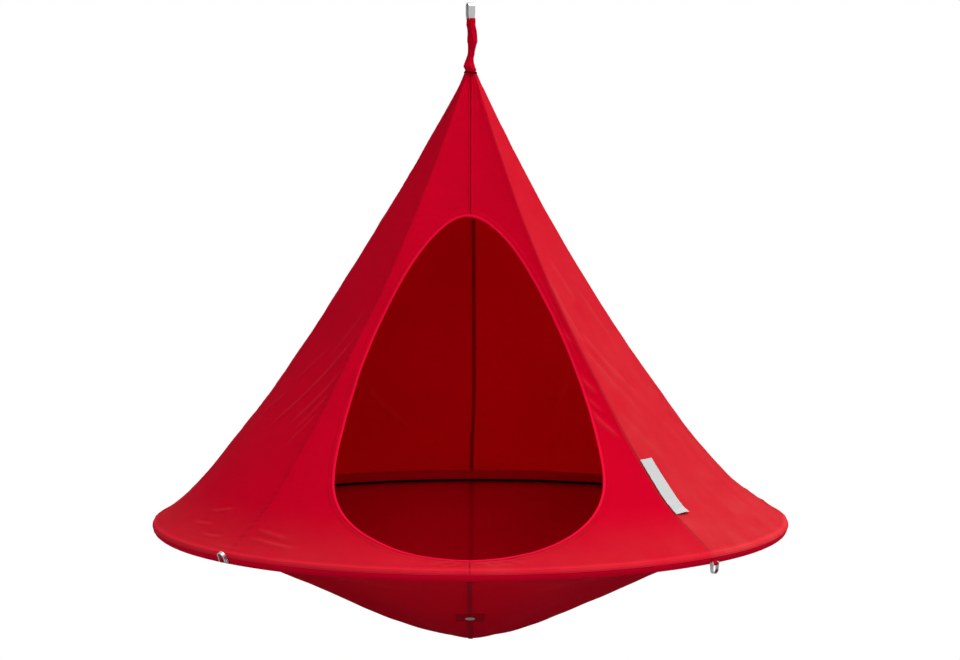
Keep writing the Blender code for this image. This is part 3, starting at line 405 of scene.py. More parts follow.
# %% Creases
# Each crease: start and end as (azimuth in degrees, height above the ring), then half its width
# and the height of its ridge
creases = [
    # long ones on the left flank, from the front seam down and back
    ((-46.2, 0.470), (-68.5, 0.232), 0.0044, 0.0032),
    ((-45.6, 0.385), (-57.5, 0.252), 0.0050, 0.0020),
    ((-45.8, 0.340), (-53.5, 0.240), 0.0050, 0.0014),
    ((-46.5, 0.300), (-52.5, 0.215), 0.0050, 0.0011),
    ((-63.0, 0.430), (-73.5, 0.340), 0.0060, 0.0010),
    ((-72.5, 0.325), (-80.0, 0.265), 0.0060, 0.0010),
    ((-50.0, 0.520), (-60.0, 0.400), 0.0080, 0.0008),
    # broad ones on the right flank
    ((45.5, 0.600), (50.0, 0.420), 0.0100, 0.0018),
    ((46.8, 0.440), (60.0, 0.285), 0.0110, 0.0030),
    ((50.0, 0.480), (67.0, 0.310), 0.0120, 0.0028),
    ((47.5, 0.300), (56.0, 0.180), 0.0100, 0.0020),
    ((56.0, 0.640), (64.0, 0.520), 0.0110, 0.0014),
    ((72.0, 0.560), (80.0, 0.430), 0.0120, 0.0014),
    # between the right seam and the doorway
    ((36.5, 0.430), (43.5, 0.330), 0.0070, 0.0018),
    ((35.5, 0.380), (42.5, 0.290), 0.0060, 0.0020),
    ((36.5, 0.330), (43.5, 0.240), 0.0070, 0.0018),
    ((38.0, 0.520), (43.5, 0.440), 0.0060, 0.0016),
    # the sill on the left, near its shackle, and the rim there
    ((-43.4, 0.0580), (-34.5, 0.0480), 0.0040, 0.0022),
    ((-43.8, 0.0410), (-30.5, 0.0320), 0.0040, 0.0026),
    ((-50.0, 0.0190), (-41.5, 0.0200), 0.0038, 0.0008),
    ((-62.0, 0.0700), (-54.0, 0.0860), 0.0045, 0.0018),
    ((-64.0, 0.0440), (-56.0, 0.0500), 0.0045, 0.0018),
    ((-57.0, 0.0300), (-50.0, 0.0340), 0.0040, 0.0018),
    # both sides of the front seam, where the sill is pinched to the ring
    ((0.8, 0.0250), (5.5, 0.0150), 0.0035, 0.0014),
    ((1.6, 0.0280), (8.0, 0.0165), 0.0040, 0.0014),
    ((3.2, 0.0300), (9.5, 0.0215), 0.0040, 0.0012),
    ((-0.8, 0.0230), (-5.0, 0.0150), 0.0035, 0.0012),
    ((-1.6, 0.0270), (-7.5, 0.0170), 0.0040, 0.0010),
    # at the far right, over the ring
    ((86.0, 0.0500), (100.0, 0.0300), 0.0070, 0.0014),
    ((97.0, 0.0620), (108.0, 0.0400), 0.0070, 0.0012),
    # soft ones on the rear gores
    ((128.0, 0.420), (112.0, 0.230), 0.0090, 0.0026),
    ((141.0, 0.380), (158.0, 0.190), 0.0090, 0.0026),
    ((-128.0, 0.450), (-108.0, 0.210), 0.0090, 0.0028),
    ((-143.0, 0.300), (-166.0, 0.140), 0.0090, 0.0022),
]


def turn_between(azimuth, start):
    """Signed turn from one azimuth to another, the short way round."""
    return (azimuth - start + math.pi) % math.tau - math.pi


def from_doorway(azimuth, girth, radius):
    """Rough distance from the doorway's edge, measured across the front or up and down."""
    turn = turn_between(azimuth, 0)
    beyond = np.maximum(np.maximum(outline_girth[0] - girth, girth - outline_girth[-1]), 0)
    right, left = (
        np.interp(girth, outline_girth, outline_azimuth[side], left=0, right=0) for side in (1, -1)
    )
    aside = np.maximum(np.abs(turn) - np.where(turn > 0, right, left), 0) * radius
    return np.hypot(aside, beyond)


def crease_lift(azimuth, girth, radius):
    """The raised lines of the creases, each with a hollow beside it."""
    total = np.zeros_like(girth)
    for start, end, width, height in creases:
        (first_turn, first_girth), (last_turn, last_girth) = (
            (math.radians(a), canopy_section.girth_at_height(h)) for a, h in (start, end)
        )
        across = turn_between(azimuth, first_turn) * radius
        along = girth - first_girth
        run_across = (last_turn - first_turn) * radius
        run_along = last_girth - first_girth
        length = np.hypot(run_across, run_along)
        share = (across * run_across + along * run_along) / length**2
        aside = (across * run_along - along * run_across) / length
        fade = smooth_step(share / 0.25) * smooth_step((1 - share) / 0.25)
        hollow = hill(aside - 1.9 * width, 1.3 * width)
        total += height * fade * (hill(aside, width) - 0.6 * hollow)
    return total * smooth_step(from_doorway(azimuth, girth, radius) / 0.014)


print(len(creases), "creases")

# %% [markdown]
# The relief adds it all up: the felled seams, the puckers beside them, slow waves, the gathers at
# the knot and the creases. Near the ring the cloth lies tight on the sleeve, so most of it stops
# there.


# %% Relief of the canopy and the bowl
def beside(azimuth, centre):
    """1 at an azimuth, and next to nothing a gore away from it."""
    return hill(turn_between(azimuth, centre), 0.3)


def seam_pull(azimuth, girth):
    """How hard a seam is drawn in. The left front one lies almost flat, the right one high up."""
    right = beside(azimuth, span) * (1 - rise(girth, 0.85, 0.15))
    return 1 - 0.88 * beside(azimuth, -span) - 0.65 * right


def felled_seam(azimuth, girth, aside):
    """A groove where two gores meet, with low folds beside it, pressed flat at the side tabs."""
    at_tabs = hill(turn_between(np.abs(turn_between(azimuth, 0)), span), 0.05)
    pressed = at_tabs * rise(girth, canopy_length - 0.030, 0.015)
    fold = seam_ridge * (1 - rise(aside, 0.0070, 0.0016))
    depth = (seam_groove + seam_ridge) * seam_pull(azimuth, girth)
    groove = depth * hill(aside, 0.0013)
    return (fold - groove) * (1 - pressed)


def canopy_relief(azimuth, girth):
    """How far the cloth stands off the bare wall: seams, puckers, waves, gathers and creases."""
    points = bare_canopy(azimuth, girth)
    radius = canopy_radius(girth)
    aside = seam_distance(azimuth, radius, span)
    seam = felled_seam(azimuth, girth, aside) * smooth_step(girth / 0.05)
    patchy = 0.55 + 0.45 * random_waves(points, 0.25, 11)
    phase = girth / pucker_pitch + 0.9 * random_waves(points, 0.08, 12)
    worked = pucker_height * (1 + beside(azimuth, -span))
    worked = worked * (1 - 0.6 * beside(azimuth, 2 * span))
    near_seam = np.exp(-np.maximum(aside - 0.002, 0) / 0.014)
    puckers = worked * patchy * near_seam * np.sin(math.tau * phase)
    open_cloth = smooth_step((canopy_length - girth) / 0.05)
    waves = 0.0012 * random_waves(points, 0.19, 13) + 0.0004 * random_waves(points, 0.055, 14)
    gathers = np.cos(gather_count * azimuth + 45 * girth + 1.3 * np.sin(3 * azimuth))
    gathers = gather_height * np.exp(-girth / 0.06) * gathers
    creased = crease_lift(azimuth, girth, radius)
    creased = creased * smooth_step((canopy_length + 0.004 - girth) / 0.012)
    lift = seam + open_cloth * (puckers + waves) + creased
    return lift * smooth_step(girth / 0.03) + gathers * smooth_step(radius / 0.02)


def canopy_place(azimuth, girth, lift=0.0):
    azimuth, girth = np.broadcast_arrays(np.asarray(azimuth, float), np.asarray(girth, float))
    return bare_canopy(azimuth, girth, canopy_relief(azimuth, girth) + lift)


def bowl_relief(azimuth, girth):
    """How far the floor stands off the bare bowl; it is blunt at its foot."""
    points = bare_bowl(azimuth, girth)
    radius = bowl_radius(girth)
    aside = seam_distance(azimuth, radius, quarter)
    taut = smooth_step(girth / 0.04) * smooth_step((bowl_section.length - girth) / 0.06)
    phase = girth / pucker_pitch + 0.8 * random_waves(points, 0.09, 22)
    puckers = pucker_height * np.exp(-aside / 0.018) * np.sin(math.tau * phase)
    waves = 0.0016 * random_waves(points, 0.23, 23) + 0.0004 * random_waves(points, 0.06, 24)
    return taut * (puckers + waves) - foot_blunt * hill(radius, 0.045)


def bowl_place(azimuth, girth, lift=0.0):
    azimuth, girth = np.broadcast_arrays(np.asarray(azimuth, float), np.asarray(girth, float))
    return bare_bowl(azimuth, girth, bowl_relief(azimuth, girth) + lift)


seam_girths = np.linspace(0.1, canopy_length - 0.1, 50)
print("deepest groove", round(float(canopy_relief(2 * span, seam_girths).min()), 5), "m")

# %% [markdown]
# Almost every sewn piece starts as Blender's grid: a flat square with rows and columns. Its points
# are then laid where the formula says, like cloth on a former, and its UV map is set in real
# metres, so that the weave later has the same size on every piece. These first tools select a
# piece, run edit-mode steps on the whole of it, and apply modifiers.


# %% Tools for editing a piece
def deselect():
    if bpy.context.object and bpy.context.object.mode != "OBJECT":
        bpy.ops.object.mode_set(mode="OBJECT")
    bpy.ops.object.select_all(action="DESELECT")


def only(piece):
    """Makes a piece the one selected and active object."""
    deselect()
    piece.select_set(True)
    bpy.context.view_layer.objects.active = piece


def in_edit(piece, *steps):
    """Runs edit-mode steps with the whole piece selected."""
    only(piece)
    bpy.ops.object.mode_set(mode="EDIT")
    bpy.ops.mesh.select_all(action="SELECT")
    for step in steps:
        step()
    bpy.ops.object.mode_set(mode="OBJECT")


def merge(piece, distance=1e-6):
    """Joins points that lie in the same place, which closes a grid on itself."""
    in_edit(piece, lambda: bpy.ops.mesh.remove_doubles(threshold=distance))


def turn_outwards(piece):
    """Makes all faces agree on one side: the outer one, on a closed piece."""
    in_edit(piece, lambda: bpy.ops.mesh.normals_make_consistent(inside=False))


def join(piece, other):
    only(piece)
    other.select_set(True)
    bpy.ops.object.join()


def apply_modifier(piece, kind, **settings):
    step = piece.modifiers.new(kind.lower(), kind)
    for name, value in settings.items():
        setattr(step, name, value)
    only(piece)
    bpy.ops.object.modifier_apply(modifier=step.name)


def give_wall(piece, thickness, offset=-1):
    """Thickness for a sheet: inwards by default, 0 for both ways, 1 for outwards."""
    apply_modifier(piece, "SOLIDIFY", thickness=thickness, offset=offset)


def make_smooth(piece, angle=40):
    only(piece)
    bpy.ops.object.shade_smooth_by_angle(angle=math.radians(angle))


# %% [markdown]
# The next tools make the grid, lay its points, and turn its faces away from the inside of the nest.
# The last one gives a piece its finish and the moving body it rides on, and hides the solids of
# the imported model that it stands for.


# %% Tools for laying a grid
def new_grid(name, columns, rows):
    """A unit grid, with its points' shares across and along."""
    deselect()
    bpy.ops.mesh.primitive_grid_add(x_subdivisions=columns, y_subdivisions=rows, size=1)
    piece = bpy.context.object
    piece.name = piece.data.name = name
    flat = np.empty(len(piece.data.vertices) * 3)
    piece.data.vertices.foreach_get("co", flat)
    flat = flat.reshape(-1, 3) + 0.5
    return piece, np.clip(flat[:, 0], 0, 1), np.clip(flat[:, 1], 0, 1)


def line_number(share, count):
    """Which of a grid's lines a share stands for, counted from 0."""
    return np.round(share * count).astype(int)


def lay(piece, points, across, along):
    """Puts a grid's points in place, and its UV map in metres."""
    piece.data.vertices.foreach_set("co", np.ascontiguousarray(points, float).ravel())
    corners = np.empty(len(piece.data.loops), int)
    piece.data.loops.foreach_get("vertex_index", corners)
    layer = piece.data.uv_layers.active or piece.data.uv_layers.new(name="weave")
    layer.name = "weave"
    layer.data.foreach_set("uv", np.stack([across, along], 1)[corners].ravel())
    piece.data.update()


def face_away(piece, centre=None):
    """Turns an open sheet's faces away from a point or, without one, from the axis."""
    total = 0.0
    for face in piece.data.polygons:
        middle = np.array((0, 0, face.center.z)) if centre is None else np.array(centre)
        total += face.area * np.dot(np.array(face.center) - middle, np.array(face.normal))
    if total < 0:
        in_edit(piece, bpy.ops.mesh.flip_normals)


def mapped(name, columns, rows, place, across, along, wall, close=False, centre=None):
    """A grid laid by place(u, v), merged where it closes on itself, and given a wall."""
    piece, u, v = new_grid(name, columns, rows)
    lay(piece, place(u, v), u * across, v * along)
    if close:
        merge(piece)
    face_away(piece, centre)
    give_wall(piece, wall)
    make_smooth(piece)
    return piece


def finish_piece(piece, finish, nodes=(), body="nest"):
    """Gives a piece its finish and its body, and hides the CAD nodes that it stands for."""
    piece.data.materials.clear()
    piece.data.materials.append(finish)
    if body:
        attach(piece, body)
    if nodes:
        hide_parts(*nodes)
    return piece


# %% [markdown]
# Finishes come before the pieces, so that each piece can take its own as it is made. A finish is a
# net of shader nodes. These helpers each add a node or two, so that a finish reads like a recipe.


# %% Tools for finishes
def link(tree, source, target):
    tree.links.new(source, target)


def set_inputs(node, **values):
    """Sets a node's sockets, with _ for a space in their names, or else its own settings."""
    for name, value in values.items():
        socket = node.inputs.get(name.replace("_", " "))
        if socket is None:
            setattr(node, name, value)
        else:
            socket.default_value = value
    return node


def add_node(tree, kind, **values):
    return set_inputs(tree.nodes.new(kind), **values)


def new_finish(name):
    made = bpy.data.materials.new(name)
    made.use_nodes = True
    return made, made.node_tree, made.node_tree.nodes["Principled BSDF"]


def scaled(tree, coordinates, scale):
    mapping = add_node(tree, "ShaderNodeMapping", Scale=scale)
    link(tree, coordinates, mapping.inputs["Vector"])
    return mapping.outputs["Vector"]


def maths(tree, operation, first, second):
    made = add_node(tree, "ShaderNodeMath", operation=operation)
    for socket, value in zip(made.inputs, (first, second)):
        if isinstance(value, (int, float)):
            socket.default_value = value
        else:
            link(tree, value, socket)
    return made.outputs[0]


def noise(tree, coordinates, scale, detail):
    made = add_node(tree, "ShaderNodeTexNoise", Scale=scale, Detail=detail)
    link(tree, coordinates, made.inputs["Vector"])
    return made.outputs["Fac"]


def painted(tree, name):
    """A value that is stored on a piece's points."""
    return add_node(tree, "ShaderNodeAttribute", attribute_name=name).outputs["Fac"]


def between(tree, value, low, high):
    """Stretches a value from 0..1 to low..high."""
    made = add_node(tree, "ShaderNodeMapRange", To_Min=low, To_Max=high)
    link(tree, value, made.inputs["Value"])
    return made.outputs["Result"]


def tinted(tree, colour, value):
    """A colour made darker or lighter by a value round 1."""
    made = add_node(tree, "ShaderNodeVectorMath", operation="SCALE")
    made.inputs[0].default_value = colour
    link(tree, value, made.inputs["Scale"])
    return made.outputs[0]


def add_bump(tree, shader, height, distance, strength=1.0):
    """Relief too fine for the mesh, which only the light sees."""
    bump = add_node(tree, "ShaderNodeBump", Distance=distance, Strength=strength)
    link(tree, height, bump.inputs["Height"])
    link(tree, bump.outputs["Normal"], shader.inputs["Normal"])
    return bump.outputs["Normal"]


def mix_into(tree, share, first, second, output="Material Output"):
    """Mixes two shaders and sends the result to the output."""
    mix = add_node(tree, "ShaderNodeMixShader")
    for source, socket in zip((share, first, second), mix.inputs):
        link(tree, source, socket)
    link(tree, mix.outputs[0], tree.nodes[output].inputs["Surface"])


# %% [markdown]
# Canvas is a plain weave: warp and weft cross every half millimetre, some yarns are thicker than
# others, and its tone wanders a little at random. Where a piece asks for it, the finish also mixes
# in a paler, greyer red as a painted sheen, and darkens the seams as painted shade. Red canvas also
# lets some light through, which is why the inside of the nest glows instead of going black. Less
# comes through where the ring's tube backs the cloth. Tapes and cords are twill, with a slanting
# line.


# %% Cloth finishes
def woven(name, colour, pitch=0.00055, depth=0.00010, glow=0.0, roughness=0.8, twill=False):
    """Cloth with yarns of this pitch and depth; glow is the share of light that goes through."""
    made, tree, shader = new_finish(name)
    coordinates = add_node(tree, "ShaderNodeTexCoord")
    surface, space = coordinates.outputs["UV"], coordinates.outputs["Object"]
    yarns = []
    for direction in ("DIAGONAL" if twill else "X", "Y"):
        wave = add_node(tree, "ShaderNodeTexWave", bands_direction=direction, Distortion=0.4)
        set_inputs(wave, Scale=math.pi / 10 / pitch)
        link(tree, surface, wave.inputs["Vector"])
        yarns.append(wave.outputs["Fac"])
    weave = maths(tree, "MULTIPLY", *yarns)
    warp_slubs = noise(tree, scaled(tree, surface, (1 / pitch, 9, 1)), 1.0, 1.0)
    weft_slubs = noise(tree, scaled(tree, surface, (9, 1 / pitch, 1)), 1.0, 1.0)
    slubs = maths(tree, "MULTIPLY", warp_slubs, weft_slubs)
    fading = noise(tree, space, 3.1, 4.0)
    handling = noise(tree, space, 14.0, 3.0)

    tone = maths(tree, "ADD", between(tree, fading, 0.93, 1.07), between(tree, slubs, -0.10, 0.16))
    tone = maths(tree, "MULTIPLY", tone, between(tree, weave, 0.94, 1.05))
    # Painted shade: the tone is darkened in the seams by a value stored on the piece.
    tone = maths(tree, "MULTIPLY", tone, between(tree, painted(tree, "painted_seam_shade"), 1.0, 0.55))
    # Painted sheen: a paler, greyer red is mixed in by a value stored on the piece, patchy with the
    # handling noise.
    base = add_node(tree, "ShaderNodeMix", data_type="RGBA")
    sheen_patches = between(tree, handling, 0.15, 0.75)
    link(tree, maths(tree, "MULTIPLY", painted(tree, "painted_sheen"), sheen_patches), base.inputs["Factor"])
    link(tree, tinted(tree, colour, tone), base.inputs[6])
    sheen_colour = [0.92 * part + lift for part, lift in zip(colour, (0.06, 0.075, 0.050))]
    base.inputs[7].default_value = (*sheen_colour, 1)
    link(tree, base.outputs[2], shader.inputs["Base Color"])

    rough = between(tree, handling, roughness - 0.08, roughness + 0.08)
    link(tree, rough, shader.inputs["Roughness"])
    set_inputs(shader, Specular_IOR_Level=0.012, Sheen_Weight=0.004, Sheen_Roughness=0.35)
    relief = maths(tree, "ADD", weave, maths(tree, "MULTIPLY", slubs, 1.5))
    normal = add_bump(tree, shader, relief, depth, 0.8)
    if glow:
        through = add_node(tree, "ShaderNodeBsdfTranslucent")
        link(tree, base.outputs[2], through.inputs["Color"])
        link(tree, normal, through.inputs["Normal"])
        share = between(tree, painted(tree, "backed"), glow, 0.2 * glow)
        mix_into(tree, share, shader.outputs[0], through.outputs[0])
    return made


canvas_red = (0.78, 0.0004, 0.0260)
canopy_canvas = woven("canopy_canvas", canvas_red, glow=0.375)
# The rim band is the canopy's cloth; its lighter red is painted light, and its lower glow is for the
# tube behind it.
lit_rim_canvas = woven("lit_rim_canvas", (0.84, 0.0004, 0.0280), glow=0.08)
floor_canvas = woven("floor_canvas", (0.71, 0.0004, 0.0220), glow=0.32)
seam_tape = woven("seam_tape", (0.40, 0.0005, 0.0110), 0.0007, twill=True)
edge_binding = woven("edge_binding", (0.80, 0.0030, 0.0340), 0.0005)
dark_cord = woven("dark_cord", (0.10, 0.0006, 0.0030), 0.0009, 0.0002, twill=True)
loop_webbing = woven("loop_webbing", (0.46, 0.002, 0.012), 0.0012, 0.0003)
label_cloth = woven("label_cloth", (0.53, 0.54, 0.535), 0.0004, 0.00004, roughness=0.6)
closure_black = woven("closure_black", (0.012, 0.010, 0.011), 0.0011, 0.0005, roughness=0.9)
print("canvas colour", canvas_red)

# %% [markdown]
# Sewing thread is polyester: smoother than the cloth, with a soft gloss, and twisted, so each
# stitch shows fine slanting lines.


# %% Thread finish
def thread(name, colour):
    made, tree, shader = new_finish(name)
    twist = add_node(tree, "ShaderNodeTexWave", bands_direction="DIAGONAL", Scale=900)
    link(tree, add_node(tree, "ShaderNodeTexCoord").outputs["Object"], twist.inputs["Vector"])
    shade = between(tree, twist.outputs["Fac"], 0.85, 1.1)
    link(tree, tinted(tree, colour, shade), shader.inputs["Base Color"])
    set_inputs(shader, Roughness=0.6, Specular_IOR_Level=0.12, Sheen_Weight=0.02)
    add_bump(tree, shader, twist.outputs["Fac"], 0.00005)
    return made


red_thread = thread("red_thread", (0.42, 0.002, 0.010))
dark_thread = thread("dark_thread", (0.14, 0.001, 0.004))
pale_thread = thread("pale_thread", (0.66, 0.72, 0.72))
print("threads", red_thread.name, dark_thread.name, pale_thread.name)

# %% [markdown]
# The shackles are stainless steel, drawn and then polished, which leaves fine lines along the
# strip and a few handling marks. The tubes of the ring are plain aluminium with their mill finish,
# and the drain eyelet is nickel plate that has gone dull.


# %% Metal finishes
def metal(name, colour, roughness, lines):
    """Bare metal; lines says how closely its fine lines lie along X, Y and Z."""
    made, tree, shader = new_finish(name)
    space = add_node(tree, "ShaderNodeTexCoord").outputs["Object"]
    drawn = noise(tree, scaled(tree, space, lines), 1.0, 2.0)
    marks = noise(tree, space, 260.0, 3.0)
    link(tree, tinted(tree, colour, between(tree, marks, 0.90, 1.05)), shader.inputs["Base Color"])
    lined = between(tree, drawn, roughness - 0.06, roughness + 0.10)
    rough = maths(tree, "ADD", lined, between(tree, marks, -0.03, 0.06))
    link(tree, rough, shader.inputs["Roughness"])
    set_inputs(shader, Metallic=1.0, Specular_Tint=(0.62, 0.62, 0.63, 1))
    add_bump(tree, shader, drawn, 0.00003, 0.4)
    return made


stainless = metal("stainless", (0.47, 0.475, 0.485), 0.36, (2500, 2500, 90))
mill_aluminium = metal("mill_aluminium", (0.70, 0.71, 0.72), 0.34, (900, 900, 900))
dull_nickel = metal("dull_nickel", (0.25, 0.25, 0.20), 0.30, (900, 900, 900))
print("metals", stainless.name, mill_aluminium.name, dull_nickel.name)

# %% [markdown]
# Each gore is cut from flat canvas and sewn to its neighbours with a felled seam, a fold over a
# fold, that stands about a millimetre proud. Its columns crowd towards the seams, so that the
# ridge has enough points, and its rows run from the neck over the ring to the hem. They lie closer
# near the ring, where the small creases are.

# %% Rows and columns of a gore
gore_columns = 116
edge_steps = np.array([0, 0.0009, 0.0018, 0.0032, 0.0070, 0.0086, 0.0110])
row_pitch = 0.0056
low_row_pitch = 0.0032
hem_row_pitch = 0.003
low_girth = canopy_length - 0.16
door_top_girth = canopy_section.girth_at_height(door_top)
window_top = door_top_girth - 0.030


def even_rows(start, end, pitch):
    """Girths from start to end, evenly spaced and about this far apart."""
    return np.linspace(start, end, max(2, round((end - start) / pitch)) + 1)


upper_rows = even_rows(0, window_top, row_pitch)
window_rows = np.concatenate([
    even_rows(window_top, low_girth, row_pitch),
    even_rows(low_girth, canopy_length, low_row_pitch)[1:],
])
hem_rows = even_rows(canopy_length, hem_girth, hem_row_pitch)
gore_rows = np.concatenate([upper_rows, window_rows[1:], hem_rows[1:]])
last_row = len(gore_rows) - 1
window_first = len(upper_rows) - 1
window_last = window_first + len(window_rows) - 1
window_column = gore_columns - (len(edge_steps) - 1)


def column_shares(girth):
    """Shares across a gore at a girth, crowded towards its two seams."""
    width = span * np.maximum(canopy_radius(girth), 1e-4)
    edges = edge_steps * np.minimum(1, width / 0.06)[..., None] / width[..., None]
    inner = gore_columns - 2 * (len(edge_steps) - 1)
    steps = np.linspace(0, 1, inner + 1)[1:-1]
    middle = edges[..., -1:] + (1 - 2 * edges[..., -1:]) * steps
    return np.concatenate([edges, middle, 1 - edges[..., ::-1]], -1)


gore_shares = column_shares(gore_rows)
print(len(gore_rows), "rows and", gore_columns, "columns in a gore")

# %% [markdown]
# The canopy is painted paler where light falls on it, as a painted sheen: on its lower part down to
# the ring, along the ridges of its creases and on its lit right side. The grooves of the seams are
# painted darker, as painted shade. Both are stored on the points of the gore, and the canvas finish
# reads them. A third value says where the ring backs the cloth.


# %% Laying a gore, with its painted sheen and painted seam shade
def painted_light_of(azimuth, girth):
    """How much painted sheen and painted seam shade the canopy gets, each from 0 to 1."""
    radius = canopy_radius(girth)
    # Painted sheen: paler on the lower wall, which faces the light from above, on the lit right
    # flank, and along the ridges of creases.
    lit_lower_wall = 0.45 * rise(girth, canopy_length - 0.16, 0.16)
    turn = turn_between(azimuth, 0)
    lit_side = rise(turn, 0.770, 0.025) * (1 - rise(turn, 2.2, 0.7))
    lit_side = lit_side * (0.30 + 0.55 * smooth_step(girth / canopy_length))
    ridge_highlights = 0.60 * np.clip(crease_lift(azimuth, girth, radius) / 0.0025, 0, 1)
    # Painted shade in the seam grooves, deeper where a seam is drawn in harder.
    groove_shade_mask = hill(seam_distance(azimuth, radius, span), 0.0016)
    return np.clip(lit_lower_wall + lit_side + ridge_highlights, 0, 1), seam_pull(azimuth, girth) * groove_shade_mask


def set_painted_light(piece, sheen_share, seam_shade=0.0, backed=0.0):
    # The values stored on each point: painted sheen, painted shade in the seams, and where the tube
    # backs the cloth.
    for name, values in (("painted_sheen", sheen_share), ("painted_seam_shade", seam_shade), ("backed", backed)):
        layer = piece.data.attributes.new(name, "FLOAT", "POINT")
        filled = np.broadcast_to(np.asarray(values, np.float32), len(piece.data.vertices))
        layer.data.foreach_set("value", np.ascontiguousarray(filled))


def hem_step(girth):
    """The hem stands proud over the rim band that it is sewn to."""
    return 0.0011 * rise(girth, hem_girth - 0.012, 0.002)


def lay_on_canopy(piece, azimuth, girth, centre, lift=0.0):
    """Lays a grid on the canopy, with its UV map measured from the gore's middle."""
    radius = canopy_radius(girth)
    lay(piece, canopy_place(azimuth, girth, lift), (azimuth - centre) * radius, girth)
    over_tube = rise(girth, canopy_length - 0.006, 0.012)
    set_painted_light(piece, *painted_light_of(azimuth, girth), over_tube)


def whole_gore(name, start, side=1):
    """A gore from neck to hem between two seams, with its points' columns and rows."""
    piece, u, v = new_grid(name, gore_columns, last_row)
    column, row = line_number(u, gore_columns), line_number(v, last_row)
    azimuth, girth = start + span * gore_shares[row, column], gore_rows[row]
    lay_on_canopy(piece, side * azimuth, girth, side * (start + span / 2), hem_step(girth))
    return piece, column, row


gore_nodes = (
    "canopy_right_front", "canopy_right_rear", "canopy_rear_right", "canopy_rear_left",
    "canopy_left_rear", "canopy_left_front",
)
gores = {}
for number, node in enumerate(gore_nodes, start=1):
    gores[node] = whole_gore(node.replace("canopy", "gore"), number * span)[0]
print(len(gores), "gores without a doorway")

# %% [markdown]
# The two front gores are cut away for the doorway. A Boolean would leave ragged cells along it.
# Instead, a window of cells is left out of each front gore, and a second grid of spokes fills the
# window from the doorway's edge to the window's border.

# %% Window of a front gore
border = [(column, window_first) for column in range(window_column + 1)]
border += [(window_column, row) for row in range(window_first + 1, window_last + 1)]
border += [(column, window_last) for column in range(window_column - 1, -1, -1)]
border_azimuth = np.array([span * gore_shares[row, column] for column, row in border])
border_girth = np.array([gore_rows[row] for column, row in border])
flat_unit = 0.45
door_centre = float(canopy_section.girth_at_height(0.33))


def cut_window(gore, column, row):
    """Deletes the cells that the spokes will fill."""
    in_edit(gore, lambda: bpy.ops.mesh.select_all(action="DESELECT"))
    for face in gore.data.polygons:
        columns, rows = column[list(face.vertices)], row[list(face.vertices)]
        between_rows = rows.min() >= window_first and rows.max() <= window_last
        face.select = bool(columns.max() <= window_column and between_rows)
    bpy.ops.object.mode_set(mode="EDIT")
    bpy.ops.mesh.delete(type="FACE")
    bpy.ops.object.mode_set(mode="OBJECT")


def flat_angle(azimuth, girth):
    """Direction from the doorway's centre on the gore spread flat."""
    return np.arctan2(azimuth * flat_unit, door_centre - girth)


def door_point_facing(azimuth, girth, side):
    """The doorway's edge in the direction of a point of the window's border."""
    reach = np.hypot(outline_azimuth[side] * flat_unit, outline_girth - door_centre)
    angles = flat_angle(outline_azimuth[side], outline_girth)
    angle = flat_angle(azimuth, girth)
    found = np.interp(angle, angles, reach)
    return found * np.sin(angle) / flat_unit, door_centre - found * np.cos(angle)


def door_distance(points, side):
    """Distance of points from the doorway's edge, taken as short straight pieces."""
    line = outline_points[side]
    nearest = np.full(len(points), 9.0)
    for first in range(0, len(line) - 1, 8):
        start, end = line[first], line[min(first + 8, len(line) - 1)]
        run = end - start
        share = np.clip(((points - start) @ run) / np.dot(run, run), 0, 1)
        aside = np.linalg.norm(points - start - share[:, None] * run, axis=1)
        nearest = np.minimum(nearest, aside)
    return nearest


print(len(border), "points in the window's border")

# %% [markdown]
# The spokes' rings crowd towards the doorway, where a hem of doubled cloth stands a little proud.
# Where a spoke leaves the edge at a slant, its first steps are made longer, so that the hem keeps
# the same width all the way round.

# %% Front gores
hem_steps = np.array([0, 0.0015, 0.0045, 0.0085, 0.0115, 0.0130, 0.0150, 0.0190])
hem_lift = 0.0008
hem_width = 0.0122
spoke_cells = 32
slant_test = 0.008


def spoke_shares(starts, ends, side):
    """Where each spoke's points lie, as shares from the doorway to the border."""
    lengths = np.linalg.norm(ends - starts, axis=1)
    test = starts + (ends - starts) * (slant_test / lengths)[:, None]
    skew = np.clip(door_distance(test, side) / slant_test, 0.35, 1)
    near = np.minimum(hem_steps[None] / skew[:, None] / lengths[:, None], 0.9)
    rest = near[:, -1:] + (1 - near[:, -1:]) * np.linspace(0, 1, spoke_cells + 1)[1:]
    return np.concatenate([near, rest], 1)


def window_spokes(name, side):
    """A grid of spokes between the doorway's edge and the window's border."""
    rings = len(hem_steps) - 1 + spoke_cells
    spokes, u, v = new_grid(name, len(border) - 1, rings)
    number, ring = line_number(u, len(border) - 1), line_number(v, rings)
    door_azimuth, door_girth = door_point_facing(border_azimuth, border_girth, side)
    door_azimuth[[0, -1]] = 0
    starts = bare_canopy(door_azimuth * side, door_girth)
    ends = bare_canopy(border_azimuth * side, border_girth)
    shares = spoke_shares(starts, ends, side)[number, ring]
    azimuth = door_azimuth[number] + (border_azimuth - door_azimuth)[number] * shares
    girth = door_girth[number] + (border_girth - door_girth)[number] * shares
    distance = door_distance(bare_canopy(azimuth * side, girth), side)
    hem = hem_lift * (1 - rise(distance, hem_width, 0.0015))
    lay_on_canopy(spokes, azimuth * side, girth, side * span / 2, hem)
    return spokes


def front_gore(name, side):
    gore, column, row = whole_gore(name, 0, side)
    cut_window(gore, column, row)
    join(gore, window_spokes(name + "_spokes", side))
    merge(gore, 2e-5)
    turn_outwards(gore)
    return gore


